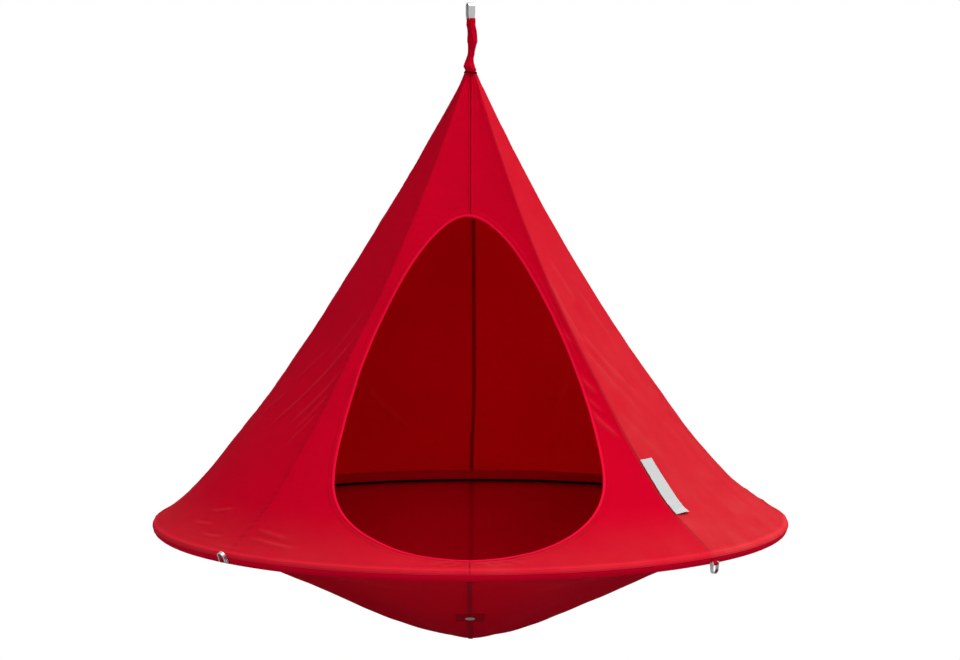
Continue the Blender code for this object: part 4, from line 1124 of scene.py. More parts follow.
for node, side in (("canopy_front_right", 1), ("canopy_front_left", -1)):
    gores[node] = front_gore(node.replace("canopy", "gore"), side)
for node, gore in gores.items():
    face_away(gore)
    give_wall(gore, cloth_thickness)
    make_smooth(gore, 60)
    finish_piece(gore, canopy_canvas, [node])

# %% [markdown]
# The bowl is four panels that meet at the foot. Its cloth carries the weight of a person, so it is
# tauter than the canopy, and between its seams it is drawn slightly in.

# %% Floor panels
floor_columns = 96
floor_rows = 84
floor_end = bowl_section.length - 0.008
inside_bowl = (0, 0, ring_height + 0.3)
floor_nodes = ("floor_front_right", "floor_rear_right", "floor_rear_left", "floor_front_left")
for number, node in enumerate(floor_nodes):
    panel, u, v = new_grid(node.replace("floor", "bowl"), floor_columns, floor_rows)
    azimuth, girth = number * quarter + u * quarter, v * floor_end
    radius = bowl_radius(girth)
    lay(panel, bowl_place(azimuth, girth), (u - 0.5) * quarter * radius, girth)
    aside = seam_distance(azimuth, radius, quarter)
    # The floor panels get no painted sheen, and painted shade darkens them along their seams.
    set_painted_light(panel, 0.0, 0.45 * np.exp(-((aside / 0.0055) ** 4)))
    face_away(panel, inside_bowl)
    give_wall(panel, cloth_thickness)
    make_smooth(panel, 60)
    finish_piece(panel, floor_canvas, [node])

# %% [markdown]
# The ring lies in a sleeve. Its outer half is a band of canopy cloth between the hem and the
# floor. Band, flap and strip are each one grid that goes once round the ring and closes on itself.

# %% Rim band
rim_columns = 480
rim_start = math.radians(24)
rim_width = 0.031
thin_wall = 0.0006
rim_circle = math.tau * (ring_radius + sleeve_radius)


def round_the_ring(u, angle, radius):
    """Points once round the nest, at an angle round the tube and a distance from its middle."""
    reach, height = round_tube(angle, radius)
    points = radial(u * math.tau) * np.asarray(reach)[..., None]
    points[..., 2] = ring_height + height
    return points


def slack_cloth(u, v, coarse, fine):
    """Unevenness between two sewn edges; each kind is a height, a wavelength and a seed."""
    around = radial(u * math.tau) * ring_radius
    total = sum(height * random_waves(around, wave, seed) for height, wave, seed in (coarse, fine))
    return total * np.sin(math.pi * v) ** 2


def rim_point(u, v):
    slack = slack_cloth(u, v, (0.0005, 0.03, 31), (0.0004, 0.10, 32))
    return round_the_ring(u, rim_start + (bowl_angle - rim_start) * v, sleeve_radius + slack)


rim_band = mapped(
    "rim_sleeve", rim_columns, 12, rim_point, rim_circle, rim_width, wall=thin_wall, close=True
)
# Its finish is painted a lighter red than the canopy, as painted light.
finish_piece(rim_band, lit_rim_canvas, ["rim_band"])
print(f"rim band {rim_circle:.3f} m round")

# %% [markdown]
# Inside the ring, the floor's edge turns up over the tubes, and a loose flap comes down to it on a
# black hook-and-loop strip, so that the ring can be taken out for packing. The strip sits lower at
# the rear than at the right, so its height is a formula too.

# %% Flap, closure strip and upstand
strip_columns = 360
flap_radius = sleeve_radius + 0.0010
flap_turn = math.acos((tube_radius + 0.0006) / (flap_radius + layer_gap))
flap_start = tangent_angle + flap_turn
flap_circle = math.tau * (ring_radius - flap_radius)
flap_width = flap_radius * (math.radians(190) - flap_start)
closure_low = math.radians(192)
closure_climb = math.radians(20)
strip_overlap = math.radians(9)
strip_turn = math.radians(35)
upstand_gap = math.radians(21)
upstand_end = math.radians(266)
upstand_width = sleeve_radius * math.radians(266 - 209)


def closure_angle(azimuth):
    """Where the flap ends on the sleeve: low at the rear, higher towards the right."""
    return closure_low - closure_climb * np.maximum(np.sin(azimuth), 0) ** 1.5


def flap_point(u, v):
    angle = flap_start + (closure_angle(u * math.tau) - flap_start) * v
    slack = slack_cloth(u, v, (0.0009, 0.05, 33), (0.0005, 0.02, 34))
    return round_the_ring(u, angle, flap_radius + 0.0010 + slack)


def fastener_point(u, v):
    angle = closure_angle(u * math.tau) + strip_turn * v - strip_overlap
    return round_the_ring(u, angle, sleeve_radius + 0.0012 + 0.0004 * v)


def upstand_point(u, v):
    start = closure_angle(u * math.tau) + upstand_gap
    return round_the_ring(u, start + (upstand_end - start) * v, sleeve_radius + 0.0005)


inner_flap = mapped(
    "inner_flap", rim_columns, 14, flap_point, flap_circle, flap_width, wall=thin_wall, close=True
)
finish_piece(inner_flap, floor_canvas, ["ring_flap"])
fastener = mapped(
    "closure_strip", strip_columns, 6, fastener_point, flap_circle, 0.009, wall=0.0008, close=True
)
finish_piece(fastener, closure_black, ["flap_fastener"])
upstand = mapped(
    "floor_upstand", strip_columns, 10, upstand_point, flap_circle, upstand_width, wall=0.0005,
    close=True,
)
finish_piece(upstand, floor_canvas)
print(f"flap {flap_width * 1000:.0f} mm wide")

# %% [markdown]
# A woven tape backs each seam. On the canopy it lies inside, where it shows as a dark line through
# the doorway. On the bowl it lies outside. Each tape is a long narrow grid that follows its seam.

# %% Seam tapes
tape_width = 0.0112
canopy_tape_width = 0.0086
tape_thickness = 0.0012
tape_gap = 0.0003
floor_tape_lift = tape_gap + tape_thickness
canopy_tape_start = 0.0226
floor_tape_start = 0.004
tape_pitch = 0.006
on_canopy = (canopy_place, canopy_radius)
on_bowl = (bowl_place, bowl_radius)


def sew_tape(name, node, wall, seam, start, end, lift, width):
    """A tape on a seam of the canopy or of the bowl, between two girths."""
    place, radius_at = wall

    def point(u, v):
        girth = start + (end - start) * v
        radius = np.maximum(radius_at(girth), 0.001)
        half = np.minimum(width / 2 / radius, span * 0.45)
        return place(seam + (u * 2 - 1) * half, girth, lift)

    rows = round((end - start) / tape_pitch)
    tape = mapped(name, 8, rows, point, width, end - start, wall=tape_thickness)
    turn_outwards(tape)
    finish_piece(tape, seam_tape, [node])


canopy_seams = (
    "front", "front_right", "right", "rear_right", "rear", "rear_left", "left", "front_left",
)
for number, seam_name in enumerate(canopy_seams):
    end = door_top_girth - 0.016 if number == 0 else canopy_length - 0.014
    sew_tape(
        "seam_" + seam_name, "canopy_tape_" + seam_name, on_canopy, number * span,
        canopy_tape_start, end, -cloth_thickness - tape_gap, canopy_tape_width,
    )
floor_seams = ("front", "right", "rear", "left")
floor_tape_end = float(bowl_section.girth_at_radius(foot_patch_radius + 0.001))
for number, seam_name in enumerate(floor_seams):
    sew_tape(
        "floor_seam_" + seam_name, "floor_tape_" + seam_name, on_bowl, number * quarter,
        floor_tape_start, floor_tape_end, floor_tape_lift, tape_width,
    )
print(len(canopy_seams), "canopy tapes and", len(floor_seams), "floor tapes")

# %% [markdown]
# A folded binding runs round the doorway's edge. It is a strip bent to a U over the cloth, a bright
# line in the photograph. To lay it, the lesson needs to know at each point of the edge which way
# leads into the cloth and which way leads out of it.

# %% Frames round the doorway
half_hem = cloth_thickness / 2 + hem_lift / 2


def door_frames(steps):
    """Points round the doorway's edge, with the directions into the cloth and out of it."""
    halves = []
    for side in (1, -1):
        pieces = np.linalg.norm(np.diff(outline_points[side], axis=0), axis=1)
        lengths = np.concatenate([[0], np.cumsum(pieces)])
        even = np.linspace(0, lengths[-1], steps)
        around = side * np.interp(even, lengths, outline_azimuth[side])
        halves.append((around, np.interp(even, lengths, outline_girth)))
    right, left = halves
    azimuth, girth = (np.concatenate([right[i], left[i][-2:0:-1]]) for i in (0, 1))
    edge = canopy_place(azimuth, girth, hem_lift)
    forward = unit(np.roll(edge, -1, 0) - np.roll(edge, 1, 0))
    step = 1e-4
    down = bare_canopy(azimuth, girth + step) - bare_canopy(azimuth, girth)
    aside = bare_canopy(azimuth + step, girth) - bare_canopy(azimuth - step, girth)
    outward = unit(np.cross(down, aside))
    outward *= np.sign(np.sum(outward * radial(azimuth), -1))[:, None]
    inward = unit(np.cross(outward, forward))
    inward *= np.sign(np.sum(inward * (edge - edge.mean(0)), -1))[:, None]
    return edge, inward, outward


edge, inward, outward = door_frames(260)
print(len(edge), "points round the doorway")

# %% [markdown]
# The strip's grid has its columns across the fold and its rows round the doorway. The two ends of
# the binding overlap at the top, so a short second strip lies over the first one there.

# %% Door binding
binding_width = 0.0044
fold_angles = np.linspace(-math.pi / 2, math.pi / 2, 9)[-2:0:-1]


def fold_offsets(raise_by):
    """The binding's section as distances into the cloth and out of it."""
    half = half_hem + raise_by
    front = [(binding_width, half), (binding_width * 0.6, half + 0.0002), (0.0006, half + 0.0001)]
    fold = [(0.0002 - half * math.cos(a) * 1.1, half * math.sin(a)) for a in fold_angles]
    back = [(into, -out) for into, out in reversed(front)]
    return np.array([*front, *fold, *back])


def folded_strip(name, rows, raise_by):
    """A strip folded over the edge, along these points of the doorway."""
    offsets = fold_offsets(raise_by)
    piece, u, v = new_grid(name, len(offsets) - 1, len(rows) - 1)
    column, number = line_number(u, len(offsets) - 1), line_number(v, len(rows) - 1)
    row = np.asarray(rows)[number] % len(edge)
    middle = edge - outward * half_hem
    points = middle[row] + inward[row] * offsets[column, :1] + outward[row] * offsets[column, 1:]
    pitch = np.linalg.norm(edge[1] - edge[0])
    lay(piece, points, offsets[column, 0] + offsets[column, 1], number * pitch)
    return piece


binding = folded_strip("door_edge_binding", range(len(edge) + 1), 0.0003)
merge(binding, 2e-5)
lap = folded_strip("binding_lap", range(-2, 9), 0.0011)
for strip in (binding, lap):
    give_wall(strip, thin_wall, offset=1)
    turn_outwards(strip)
join(binding, lap)
make_smooth(binding, 50)
finish_piece(binding, edge_binding, ["door_binding"])
print("binding faces", len(binding.data.polygons))

# %% [markdown]
# Stitches are small, but they say that a thing is sewn. One stitch is modelled as a short, fat
# lozenge of thread. It is then set down again and again along each seam line, lying on the cloth
# and pointing along the seam.

# %% One stitch
deselect()
bpy.ops.mesh.primitive_uv_sphere_add(segments=6, ring_count=4, radius=0.5)
stitch = bpy.context.object
stitch.name = "one_stitch"
in_edit(stitch, lambda: bpy.ops.transform.resize(value=(0.0007, 0.0007, 0.0030)))
stitch_points = np.array([v.co for v in stitch.data.vertices])
stitch_faces = [tuple(face.vertices) for face in stitch.data.polygons]
bpy.data.objects.remove(stitch)
print(len(stitch_points), "points in a stitch")


# %% Tools for sewing
def sew(name, lines, finish, pitch):
    """One mesh of stitches along lines, each an array of points and one of outward directions."""
    points, faces = [], []
    for line in lines:
        steps = np.linalg.norm(np.diff(line[0], axis=0), axis=1)
        lengths = np.concatenate([[0], np.cumsum(steps)])
        places = np.arange(pitch / 2, lengths[-1], pitch)
        centre, out = (
            np.stack([np.interp(places, lengths, values[:, i]) for i in range(3)], 1)
            for values in line
        )
        along = unit(np.gradient(centre, axis=0))
        out = unit(out - np.sum(out * along, 1, keepdims=True) * along)
        aside = np.cross(out, along)
        for number in range(len(places)):
            turn = np.stack([aside[number], out[number], along[number]])
            first = len(points) * len(stitch_points)
            points.append(stitch_points @ turn + centre[number])
            faces += [tuple(first + corner for corner in face) for face in stitch_faces]
    mesh = bpy.data.meshes.new(name)
    mesh.from_pydata(np.concatenate(points).tolist(), [], faces)
    piece = bpy.data.objects.new(name, mesh)
    bpy.context.scene.collection.objects.link(piece)
    turn_outwards(piece)
    make_smooth(piece, 60)
    finish_piece(piece, finish)
    print(name, len(points), "stitches")


def seam_line(wall, seam, offset, start, end, lift):
    """A line beside a seam of the canopy or the bowl, and the direction out of the cloth."""
    place, radius_at = wall
    girth = np.linspace(start, end, max(3, round((end - start) / 0.004)))
    azimuth = seam + offset / np.maximum(radius_at(girth), 0.004)
    points = place(azimuth, girth, lift)
    return points, unit(place(azimuth, girth, lift + 0.002) - points)


# %% [markdown]
# Two rows of red thread run along each felled seam, two round the hem, and the doorway has a dark
# row through its binding and a red one along its own hem. The tapes under the bowl are sewn with
# dark thread.

# %% Stitching
thread_lift = 0.0001
seam_pitch = 0.0050
row_offset = 0.0036
floor_row_offset = 0.0052
canopy_lines = []
for number in range(8):
    end = door_top_girth - 0.006 if number == 0 else hem_girth - 0.003
    for offset in (-row_offset, row_offset):
        canopy_lines.append(seam_line(on_canopy, number * span, offset, 0.05, end, thread_lift))
sew("canopy_stitching", canopy_lines, red_thread, seam_pitch)

hem_azimuth = np.linspace(0, math.tau, 1500)
hem_lines = []
for girth in (hem_girth - 0.0028, hem_girth - 0.0085):
    around = np.full_like(hem_azimuth, girth)
    line = canopy_place(hem_azimuth, around, hem_step(girth) + thread_lift)
    hem_lines.append((line, radial(hem_azimuth)))
sew("hem_stitching", hem_lines, red_thread, seam_pitch)


def door_row(into, out):
    """A closed line round the doorway, this far into the cloth and out of it."""
    line = edge + inward * into + outward * out
    return np.concatenate([line, line[:1]]), np.concatenate([outward, outward[:1]])


sew("doorway_stitching", [door_row(0.0034, 0.0009)], dark_thread, 0.0040)
sew("doorway_hem_stitching", [door_row(0.0108, thread_lift)], red_thread, 0.0038)

stitched_to = float(bowl_section.girth_at_radius(0.045))
floor_lines = []
for number in range(4):
    for offset in (-floor_row_offset, floor_row_offset):
        floor_lines.append(
            seam_line(on_bowl, number * quarter, offset, 0.010, stitched_to, floor_tape_lift)
        )
sew("floor_stitching", floor_lines, dark_thread, seam_pitch)

# %% [markdown]
# The label is a strip of smooth pale cloth, sewn beside the right front seam. It is bare. Its lower
# end has come a little loose and lifts off the canvas.

# %% Label
label_start = 1.021
label_length = 0.150
label_width = 0.045
label_margin = 0.002


def label_point(u, v):
    girth = label_start + label_length * v
    azimuth = span + (label_margin + label_width * u) / canopy_radius(girth)
    loose = 0.0042 * rise(v, 0.90, 0.10) * np.sin(math.pi * (0.10 + 0.65 * u)) ** 2
    return canopy_place(azimuth, girth, cloth_thickness + 0.0011 + loose)


def label_edge(u, v):
    """A line on the label, for its stitches."""
    points = label_point(*np.broadcast_arrays(u, v))
    return points + radial(span) * thread_lift, np.broadcast_to(radial(span), points.shape)


label = mapped("side_patch", 24, 60, label_point, label_width, label_length, wall=thin_wall)
finish_piece(label, label_cloth, ["side_label"])
down_label = 0.010 + 0.97 * np.linspace(0, 1, 60)
across_label = 0.03 + 0.94 * np.linspace(0, 1, 60)
label_lines = [
    label_edge(0.03, down_label), label_edge(0.97, down_label), label_edge(across_label, 0.010),
]
sew("label_stitching", label_lines, pale_thread, 0.0032)

# %% [markdown]
# On the bowl's front seam a square patch carries a drain eyelet, and a round patch covers the
# foot, where the four seams meet. Patches are cut from the tape's dark cloth.

# %% Patches
patch_girth = float(bowl_section.girth_at_radius(0.328))
patch_size = 0.066
patch_gap = 0.0004
foot_circle = 0.22


def patch_point(u, v):
    girth = patch_girth + (v - 0.5) * patch_size
    aside = (u - 0.5) * patch_size
    over_tape = tape_thickness * (1 - rise(np.abs(aside), tape_width / 2, 0.003))
    return bowl_place(aside / bowl_radius(girth), girth, patch_gap + cloth_thickness + over_tape)


def foot_point(u, v):
    angle = u * math.tau
    girth = bowl_section.length - 0.0005 - (foot_patch_radius + 0.001) * (1 - v)
    away = smooth_step((1 - v) / 0.2)
    puckers = 0.0005 * np.cos(angle * 16) * (1 - v) * away
    on_tape = hill(seam_distance(angle, bowl_radius(girth), quarter), 0.008)
    return bowl_place(angle, girth, 0.0016 + 0.0012 * on_tape * away + puckers)


square_patch = mapped(
    "eyelet_square", 40, 30, patch_point, patch_size, patch_size, wall=cloth_thickness,
    centre=inside_bowl,
)
finish_piece(square_patch, seam_tape, ["eyelet_patch"])
foot = mapped(
    "foot_round", 96, 14, foot_point, foot_circle, foot_patch_radius, wall=cloth_thickness,
    close=True, centre=inside_bowl,
)
finish_piece(foot, seam_tape, ["foot_patch"])
print("patches at", round(patch_girth, 3), "m down the bowl")

# %% [markdown]
# The eyelet is two pressed rings of nickel plate: a flange with a rolled lip outside, and a washer
# that it is clenched onto inside. Both are turned shapes, so a section is carried round in a
# circle, as the shackles' pins will be.


# %% Tools for turned pieces
def moved(matrix, x, y, z):
    """Points given along a matrix's own axes, carried to their place."""
    return (np.stack([x, y, z, np.ones_like(x)], 1) @ np.array(matrix).T)[:, :3]


def turned_piece(name, section, steps, matrix, across, along):
    """A section of (distance along X, radius) carried round the matrix's X axis."""
    section = np.array(section)
    piece, u, v = new_grid(name, steps, len(section) - 1)
    reach, radius = section[line_number(v, len(section) - 1)].T
    turn = u * math.tau
    points = moved(matrix, reach, radius * np.cos(turn), radius * np.sin(turn))
    lay(piece, points, u * across, v * along)
    merge(piece)
    turn_outwards(piece)
    return piece


def frame_at(centre, out, up):
    """Matrix whose X points out and whose Z points up."""
    out, up = Vector(out).normalized(), Vector(up).normalized()
    side = up.cross(out).normalized()
    turn = Matrix((out, side, out.cross(side))).transposed()
    return Matrix.Translation(Vector(centre)) @ turn.to_4x4()


# %% Eyelet
eyelet_centre = bowl_place(0.0, patch_girth, 0.0)
_, _, eyelet_out, eyelet_up = bowl_section.at(patch_girth)
eyelet_matrix = frame_at(eyelet_centre, (0, -eyelet_out, eyelet_up), (0, eyelet_up, eyelet_out))
stack = patch_gap + tape_thickness + cloth_thickness + 0.0004
hole, barrel, flange = 0.0042, 0.0049, 0.0112
lip = [
    (stack + 0.0009 * math.sin(a) + 0.0003, barrel + 0.0016 - 0.0016 * math.cos(a) - 0.0007)
    for a in np.linspace(0.2, 2.4, 7)
]
eyelet_section = [
    (-0.0032, hole), (stack - 0.0002, hole), *lip, (stack + 0.0007, flange - 0.0012),
    (stack + 0.0002, flange), (stack - 0.0002, flange - 0.0002),
    (stack - 0.0001, barrel + 0.0006), (stack - 0.0010, barrel), (-0.0032, barrel),
]
washer_section = [
    (-0.0016, 0.0053), (-0.0016, flange), (-0.0021, flange + 0.0002), (-0.0026, flange - 0.0002),
    (-0.0032, 0.0085), (-0.0033, 0.0060), (-0.0029, 0.0053),
]
for name, section, node in (
    ("drain_eyelet", eyelet_section, "eyelet"), ("drain_washer", washer_section, "eyelet_washer")
):
    pressed = turned_piece(name, [*section, section[0]], 48, eyelet_matrix, 0.05, 0.02)
    make_smooth(pressed, 35)
    finish_piece(pressed, dull_nickel, [node])
print("eyelet at", [round(float(v), 3) for v in eyelet_centre])

# %% [markdown]
# Above the neck the canvas goes on as a gathered sleeve over the lifting loop. It is squarish where
# it hides the pin, narrow in the middle, and tied with a cord where the canopy starts. It wanders
# to one side and back, as slack cloth does, and slanting pleats run down it.

# %% Gathered sleeve
pin_turn = math.radians(22.5)
pin_way = radial(pin_turn)
side_way = along_ring(pin_turn)
neck_height = ring_height + neck_above_ring
sleeve_top = loop_length + 0.0077
sleeve_width = 0.075
sleeve_stops = np.array([
    # height above the knot, half width along the pin, half width square to it, squareness, drift
    (0.0010, 0.0122, 0.0122, 1.0, 0.0),
    (0.0050, 0.0126, 0.0126, 1.0, 0.0010),
    (0.0117, 0.0134, 0.0132, 1.0, -0.0026),
    (0.0211, 0.0110, 0.0107, 0.95, -0.0028),
    (0.0328, 0.0086, 0.0077, 0.85, -0.0006),
    (0.0398, 0.0088, 0.0070, 0.80, 0.0012),
    (0.0468, 0.0090, 0.0070, 0.75, 0.0018),
    (0.0585, 0.0100, 0.0084, 0.70, 0.0034),
    (0.0702, 0.0118, 0.0100, 0.60, 0.0042),
    (0.0866, 0.0118, 0.0092, 0.60, 0.0048),
    (0.0983, 0.0121, 0.0090, 0.60, 0.0036),
    (loop_length - 0.0078, 0.0129, 0.0081, 0.50, 0.0012),
    (sleeve_top, 0.0129, 0.0080, 0.50, 0.0012),
])


def sleeve_value(height, column):
    """One column of the sleeve's table at a height above the knot."""
    return np.interp(height, sleeve_stops[:, 0], sleeve_stops[:, column])


def squarish(value, power):
    """A sine or cosine pushed outwards, so that its circle becomes a rounded square."""
    return np.sign(value) * np.abs(value) ** power


def sleeve_point(u, v):
    height, angle = v * sleeve_top, u * math.tau
    wide, deep, power, drift = (sleeve_value(height, column) for column in (1, 2, 3, 4))
    free = 0.35 + 0.65 * smooth_step((loop_length - 0.012 - height) / 0.01)
    broad = 0.060 * np.cos(7 * angle + 95 * height)
    fine = 0.035 * np.cos(13 * angle - 60 * height)
    pleat = 1 + free * (broad + fine) + 0.012 * np.sin(height * 260 + 3 * angle)
    across = squarish(np.cos(angle), power) * wide * pleat
    out = squarish(np.sin(angle), power) * deep * pleat
    points = pin_way * across[:, None] + side_way * out[:, None]
    points[:, 0] += drift
    points[:, 2] = neck_height + height
    return points


sleeve = mapped(
    "gathered_sleeve", 144, 120, sleeve_point, sleeve_width, sleeve_top, wall=cloth_thickness,
    close=True,
)
finish_piece(sleeve, canopy_canvas, ["top_sleeve"], body=None)
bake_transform(sleeve)
print("sleeve top", round(neck_height + sleeve_top, 4))

# %% [markdown]
# The tie is a cord wound twice round the neck. It is a grid rolled into a tube along a screw line,
# and its two open ends are found as the edges that belong to one face only, and filled.

# %% Neck tie
tie_radius = 0.0009
tie_turns = 2


def tie_point(u, v):
    turn, ring = v * math.tau * tie_turns, u * math.tau
    height = neck_height - 0.0034 + 2 * tie_radius * v * tie_turns
    radius = canopy_section.at(np.clip(neck_height - height, 0, 1))[0]
    reach = np.maximum(radius, neck_radius) + tie_radius + 0.0004 + tie_radius * np.cos(ring)
    points = radial(turn) * reach[:, None]
    points[:, 2] = height + tie_radius * np.sin(ring)
    return points


tie, u, v = new_grid("neck_tie", 10, 48 * tie_turns)
lay(tie, tie_point(u, v), u * 0.0075, v * math.tau * neck_radius * tie_turns)
merge(tie)
in_edit(
    tie, lambda: bpy.ops.mesh.select_all(action="DESELECT"), bpy.ops.mesh.select_non_manifold,
    bpy.ops.mesh.edge_face_add,
)
turn_outwards(tie)
make_smooth(tie, 50)
finish_piece(tie, dark_cord, ["neck_cord"])
print("neck tie at", round(neck_height, 4))

# %% [markdown]
# A shackle's bow is a steel strip bent to a U. Its ends are rounded and drilled for the pin. The
# strip starts as a grid laid along the bend, gets its thickness, is drilled with a Boolean, and
# its edges are rounded with a bevel, as a tumbling barrel does to the real one.


# %% Tools for shackles
def place_of(centre, x_axis, z_axis):
    """Matrix with its X along a pin and its Z towards the bow's crown."""
    x_axis, z_axis = Vector(x_axis), Vector(z_axis)
    turn = Matrix((x_axis, z_axis.cross(x_axis), z_axis)).transposed()
    return Matrix.Translation(Vector(centre)) @ turn.to_4x4()


def cut(piece, corners, radius, depth, matrix):
    """Cuts a hole round the matrix's X axis, with this many corners."""
    deselect()
    bpy.ops.mesh.primitive_cylinder_add(vertices=corners, radius=radius, depth=depth)
    bit = bpy.context.object
    bit.data.transform(matrix @ Matrix.Rotation(quarter, 4, "Y"))
    apply_modifier(piece, "BOOLEAN", object=bit, solver="EXACT")
    bpy.data.objects.remove(bit)


def round_edges(piece, width):
    sharp = math.radians(40)
    apply_modifier(
        piece, "BEVEL", width=width, segments=2, limit_method="ANGLE", angle_limit=sharp
    )
    make_smooth(piece)


def along_bow(jaw, inside, eye, strip, count):
    """Points of the strip's middle line, from one eye's end over the crown to the other's."""
    middle = jaw / 2 + strip / 2
    straight = inside - jaw / 2
    leg = eye + straight
    arc = math.pi * middle
    places = np.linspace(0, 2 * leg + arc, count)
    points = []
    for place in places:
        if place < leg:
            points.append((middle, place - eye))
        elif place < leg + arc:
            angle = (place - leg) / middle
            points.append((middle * math.cos(angle), straight + middle * math.sin(angle)))
        else:
            points.append((-middle, straight - (place - leg - arc)))
    return places, np.array(points)


def bent_bow(name, jaw, strip, width, eye, shoulder, inside, bore, matrix):
    """A strip bent round a crown: wide along its legs, narrower at its two drilled eyes."""
    rows = 96
    places, line = along_bow(jaw, inside, eye, strip, rows + 1)
    from_end = np.minimum(places, places[-1] - places)
    shortfall = np.maximum(eye - from_end, 0)
    rounded = np.sqrt(np.maximum(eye**2 - shortfall**2, (0.16 * eye) ** 2))
    widening = rise(from_end, 1.2 * eye, shoulder + eye * 0.6)
    half_width = np.where(from_end < eye, rounded, eye + (width / 2 - eye) * widening)

    bow, u, v = new_grid(name, 8, rows)
    row = line_number(v, rows)
    points = moved(matrix, line[row, 0], (u * 2 - 1) * half_width[row], line[row, 1])
    lay(bow, points, u * width, v * places[-1])
    give_wall(bow, strip, offset=0)
    turn_outwards(bow)
    cut(bow, 40, bore, jaw * 3, matrix)
    round_edges(bow, strip * 0.22)
    return bow


def shackle_pin(name, radius, jaw, strip, head_radius, head_length, matrix):
    """A turned pin with a bevelled tail and a head that has a hexagon socket."""
    seat = jaw / 2 + strip + 0.0003
    end = seat + head_length
    edge_cut = radius * 0.2
    section = [
        (-seat, 0.0), (-seat, radius - edge_cut), (edge_cut - seat, radius), (seat, radius),
        (seat, head_radius - 0.0002), (seat + 0.0002, head_radius), (end - 0.0004, head_radius),
        (end, head_radius - 0.0004), (end, 0.0),
    ]
    pin = turned_piece(name, section, 36, matrix, math.tau * radius, 2 * seat)
    head_face = matrix @ Matrix.Translation(Vector((end, 0, 0)))
    cut(pin, 6, radius * 0.6, head_length * 1.2, head_face)
    make_smooth(pin, 30)
    return pin


# %% Top shackle
top_matrix = place_of((0, 0, pin_height), pin_way, (0, 0, 1))
top_bow = bent_bow(
    "top_shackle_bow", jaw=0.014, strip=0.003, width=0.016, eye=0.006, shoulder=0.014,
    inside=-pin_height, bore=0.00335, matrix=top_matrix,
)
finish_piece(top_bow, stainless, ["top_bow"], "top_shackle")
top_pin = shackle_pin(
    "top_shackle_pin", radius=0.003, jaw=0.014, strip=0.003, head_radius=0.0045,
    head_length=0.0015, matrix=top_matrix,
)
finish_piece(top_pin, stainless, ["top_pin"], "top_shackle")
print("top pin at", round(pin_height, 4))

# %% [markdown]
# The two side shackles hang on tabs at the front seams. The left one stands up against the cloth,
# and the right one hangs straight down.

# %% Side shackles
side_pin_radius = 0.0025
side_pin_reach = sleeve_radius + 0.005 + 0.0008
side_places = {
    # azimuth, angle of the pin round the ring's tube, direction of the crown above level
    "left": (-math.pi / 4, math.radians(-15.5), math.radians(62)),
    "right": (math.pi / 4, math.radians(-34), math.radians(-90)),
}


def side_shackle(side, azimuth, tab_angle, bow_angle):
    """A small shackle on a webbing tab at the rim."""
    reach, height = round_tube(tab_angle, side_pin_reach)
    way = Vector(radial(azimuth).tolist())
    along = Vector(along_ring(azimuth).tolist())
    centre = way * reach + Vector((0, 0, ring_height + height))
    crown = way * math.cos(bow_angle) + Vector((0, 0, math.sin(bow_angle)))
    matrix = place_of(centre, along, crown)
    bow = bent_bow(
        f"{side}_shackle_bow", jaw=0.016, strip=0.002, width=0.008, eye=0.005, shoulder=0.006,
        inside=0.0206, bore=0.00285, matrix=matrix,
    )
    finish_piece(bow, stainless, [f"{side}_bow"], f"{side}_shackle")
    pin = shackle_pin(
        f"{side}_shackle_pin", radius=side_pin_radius, jaw=0.016, strip=0.002,
        head_radius=0.004, head_length=0.002, matrix=matrix,
    )
    finish_piece(pin, stainless, [f"{side}_pin"], f"{side}_pin")


for side, places in side_places.items():
    side_shackle(side, *places)
print("side shackles", sorted(side_places))

# %% [markdown]
# Three webbing bands carry the load. The lifting loop goes over the top pin and down through the
# sleeve to the canopy's inner face. A short tab at each side is sewn to the rim and holds a side
# pin. A band is a grid laid along a path in one plane, thickened and rounded at its edges.

# %% Webbing bands
webbing_width = 0.012
webbing_thickness = 0.0025
tab_width = 0.014
tab_thickness = 0.0015
pin_slack = 0.00035


def webbing_band(name, path, out, across, width, thickness, node):
    """A woven band along points of (reach along out, height, drift to the right)."""
    line = np.array(path, float)
    steps = np.linalg.norm(np.diff(line[:, :2], axis=0), axis=1)
    lengths = np.concatenate([[0], np.cumsum(steps)])
    rows = max(16, round(lengths[-1] / 0.0012))
    even = np.linspace(0, lengths[-1], rows + 1)
    line = np.stack([np.interp(even, lengths, line[:, i]) for i in range(3)], 1)

    band, u, v = new_grid(name, 8, rows)
    reach, height, drift = line[line_number(v, rows)].T
    points = out * reach[:, None] + across * ((u - 0.5) * width)[:, None]
    points[:, 0] += drift
    points[:, 2] += height
    lay(band, points, u * width, v * lengths[-1])
    give_wall(band, thickness, offset=0)
    turn_outwards(band)
    round_edges(band, thickness * 0.25)
    finish_piece(band, loop_webbing, [node])


def round_pin(centre, reach, turns):
    """Points of a band that bends round a pin."""
    return [(centre[0] + reach * math.cos(a), centre[1] + reach * math.sin(a), 0.0) for a in turns]


# %% Lifting loop
round_top = 0.003 + pin_slack + webbing_thickness / 2
together = webbing_thickness / 2 + 0.00015
loop_leg = []
for girth, depth in ((0.115, 0.0010), (0.070, 0.0028), (0.035, 0.0028)):
    radius, height, out, up = canopy_section.at(girth)
    depth = depth + webbing_thickness / 2
    loop_leg.append((float(radius - depth * out), float(ring_height + height - depth * up), 0.0))
for height in np.linspace(0, loop_length - 0.012, 12):
    loop_leg.append((together, float(neck_height + height), float(sleeve_value(height, 4))))
loop_arc = round_pin((0, pin_height), round_top, np.linspace(0, math.pi, 13))
other_leg = [(-reach, height, drift) for reach, height, drift in reversed(loop_leg)]
webbing_band(
    "loop_band", [*loop_leg, *loop_arc, *other_leg], side_way, pin_way, webbing_width,
    webbing_thickness, "lifting_loop",
)
print(len(loop_leg), "points in a leg of the loop")


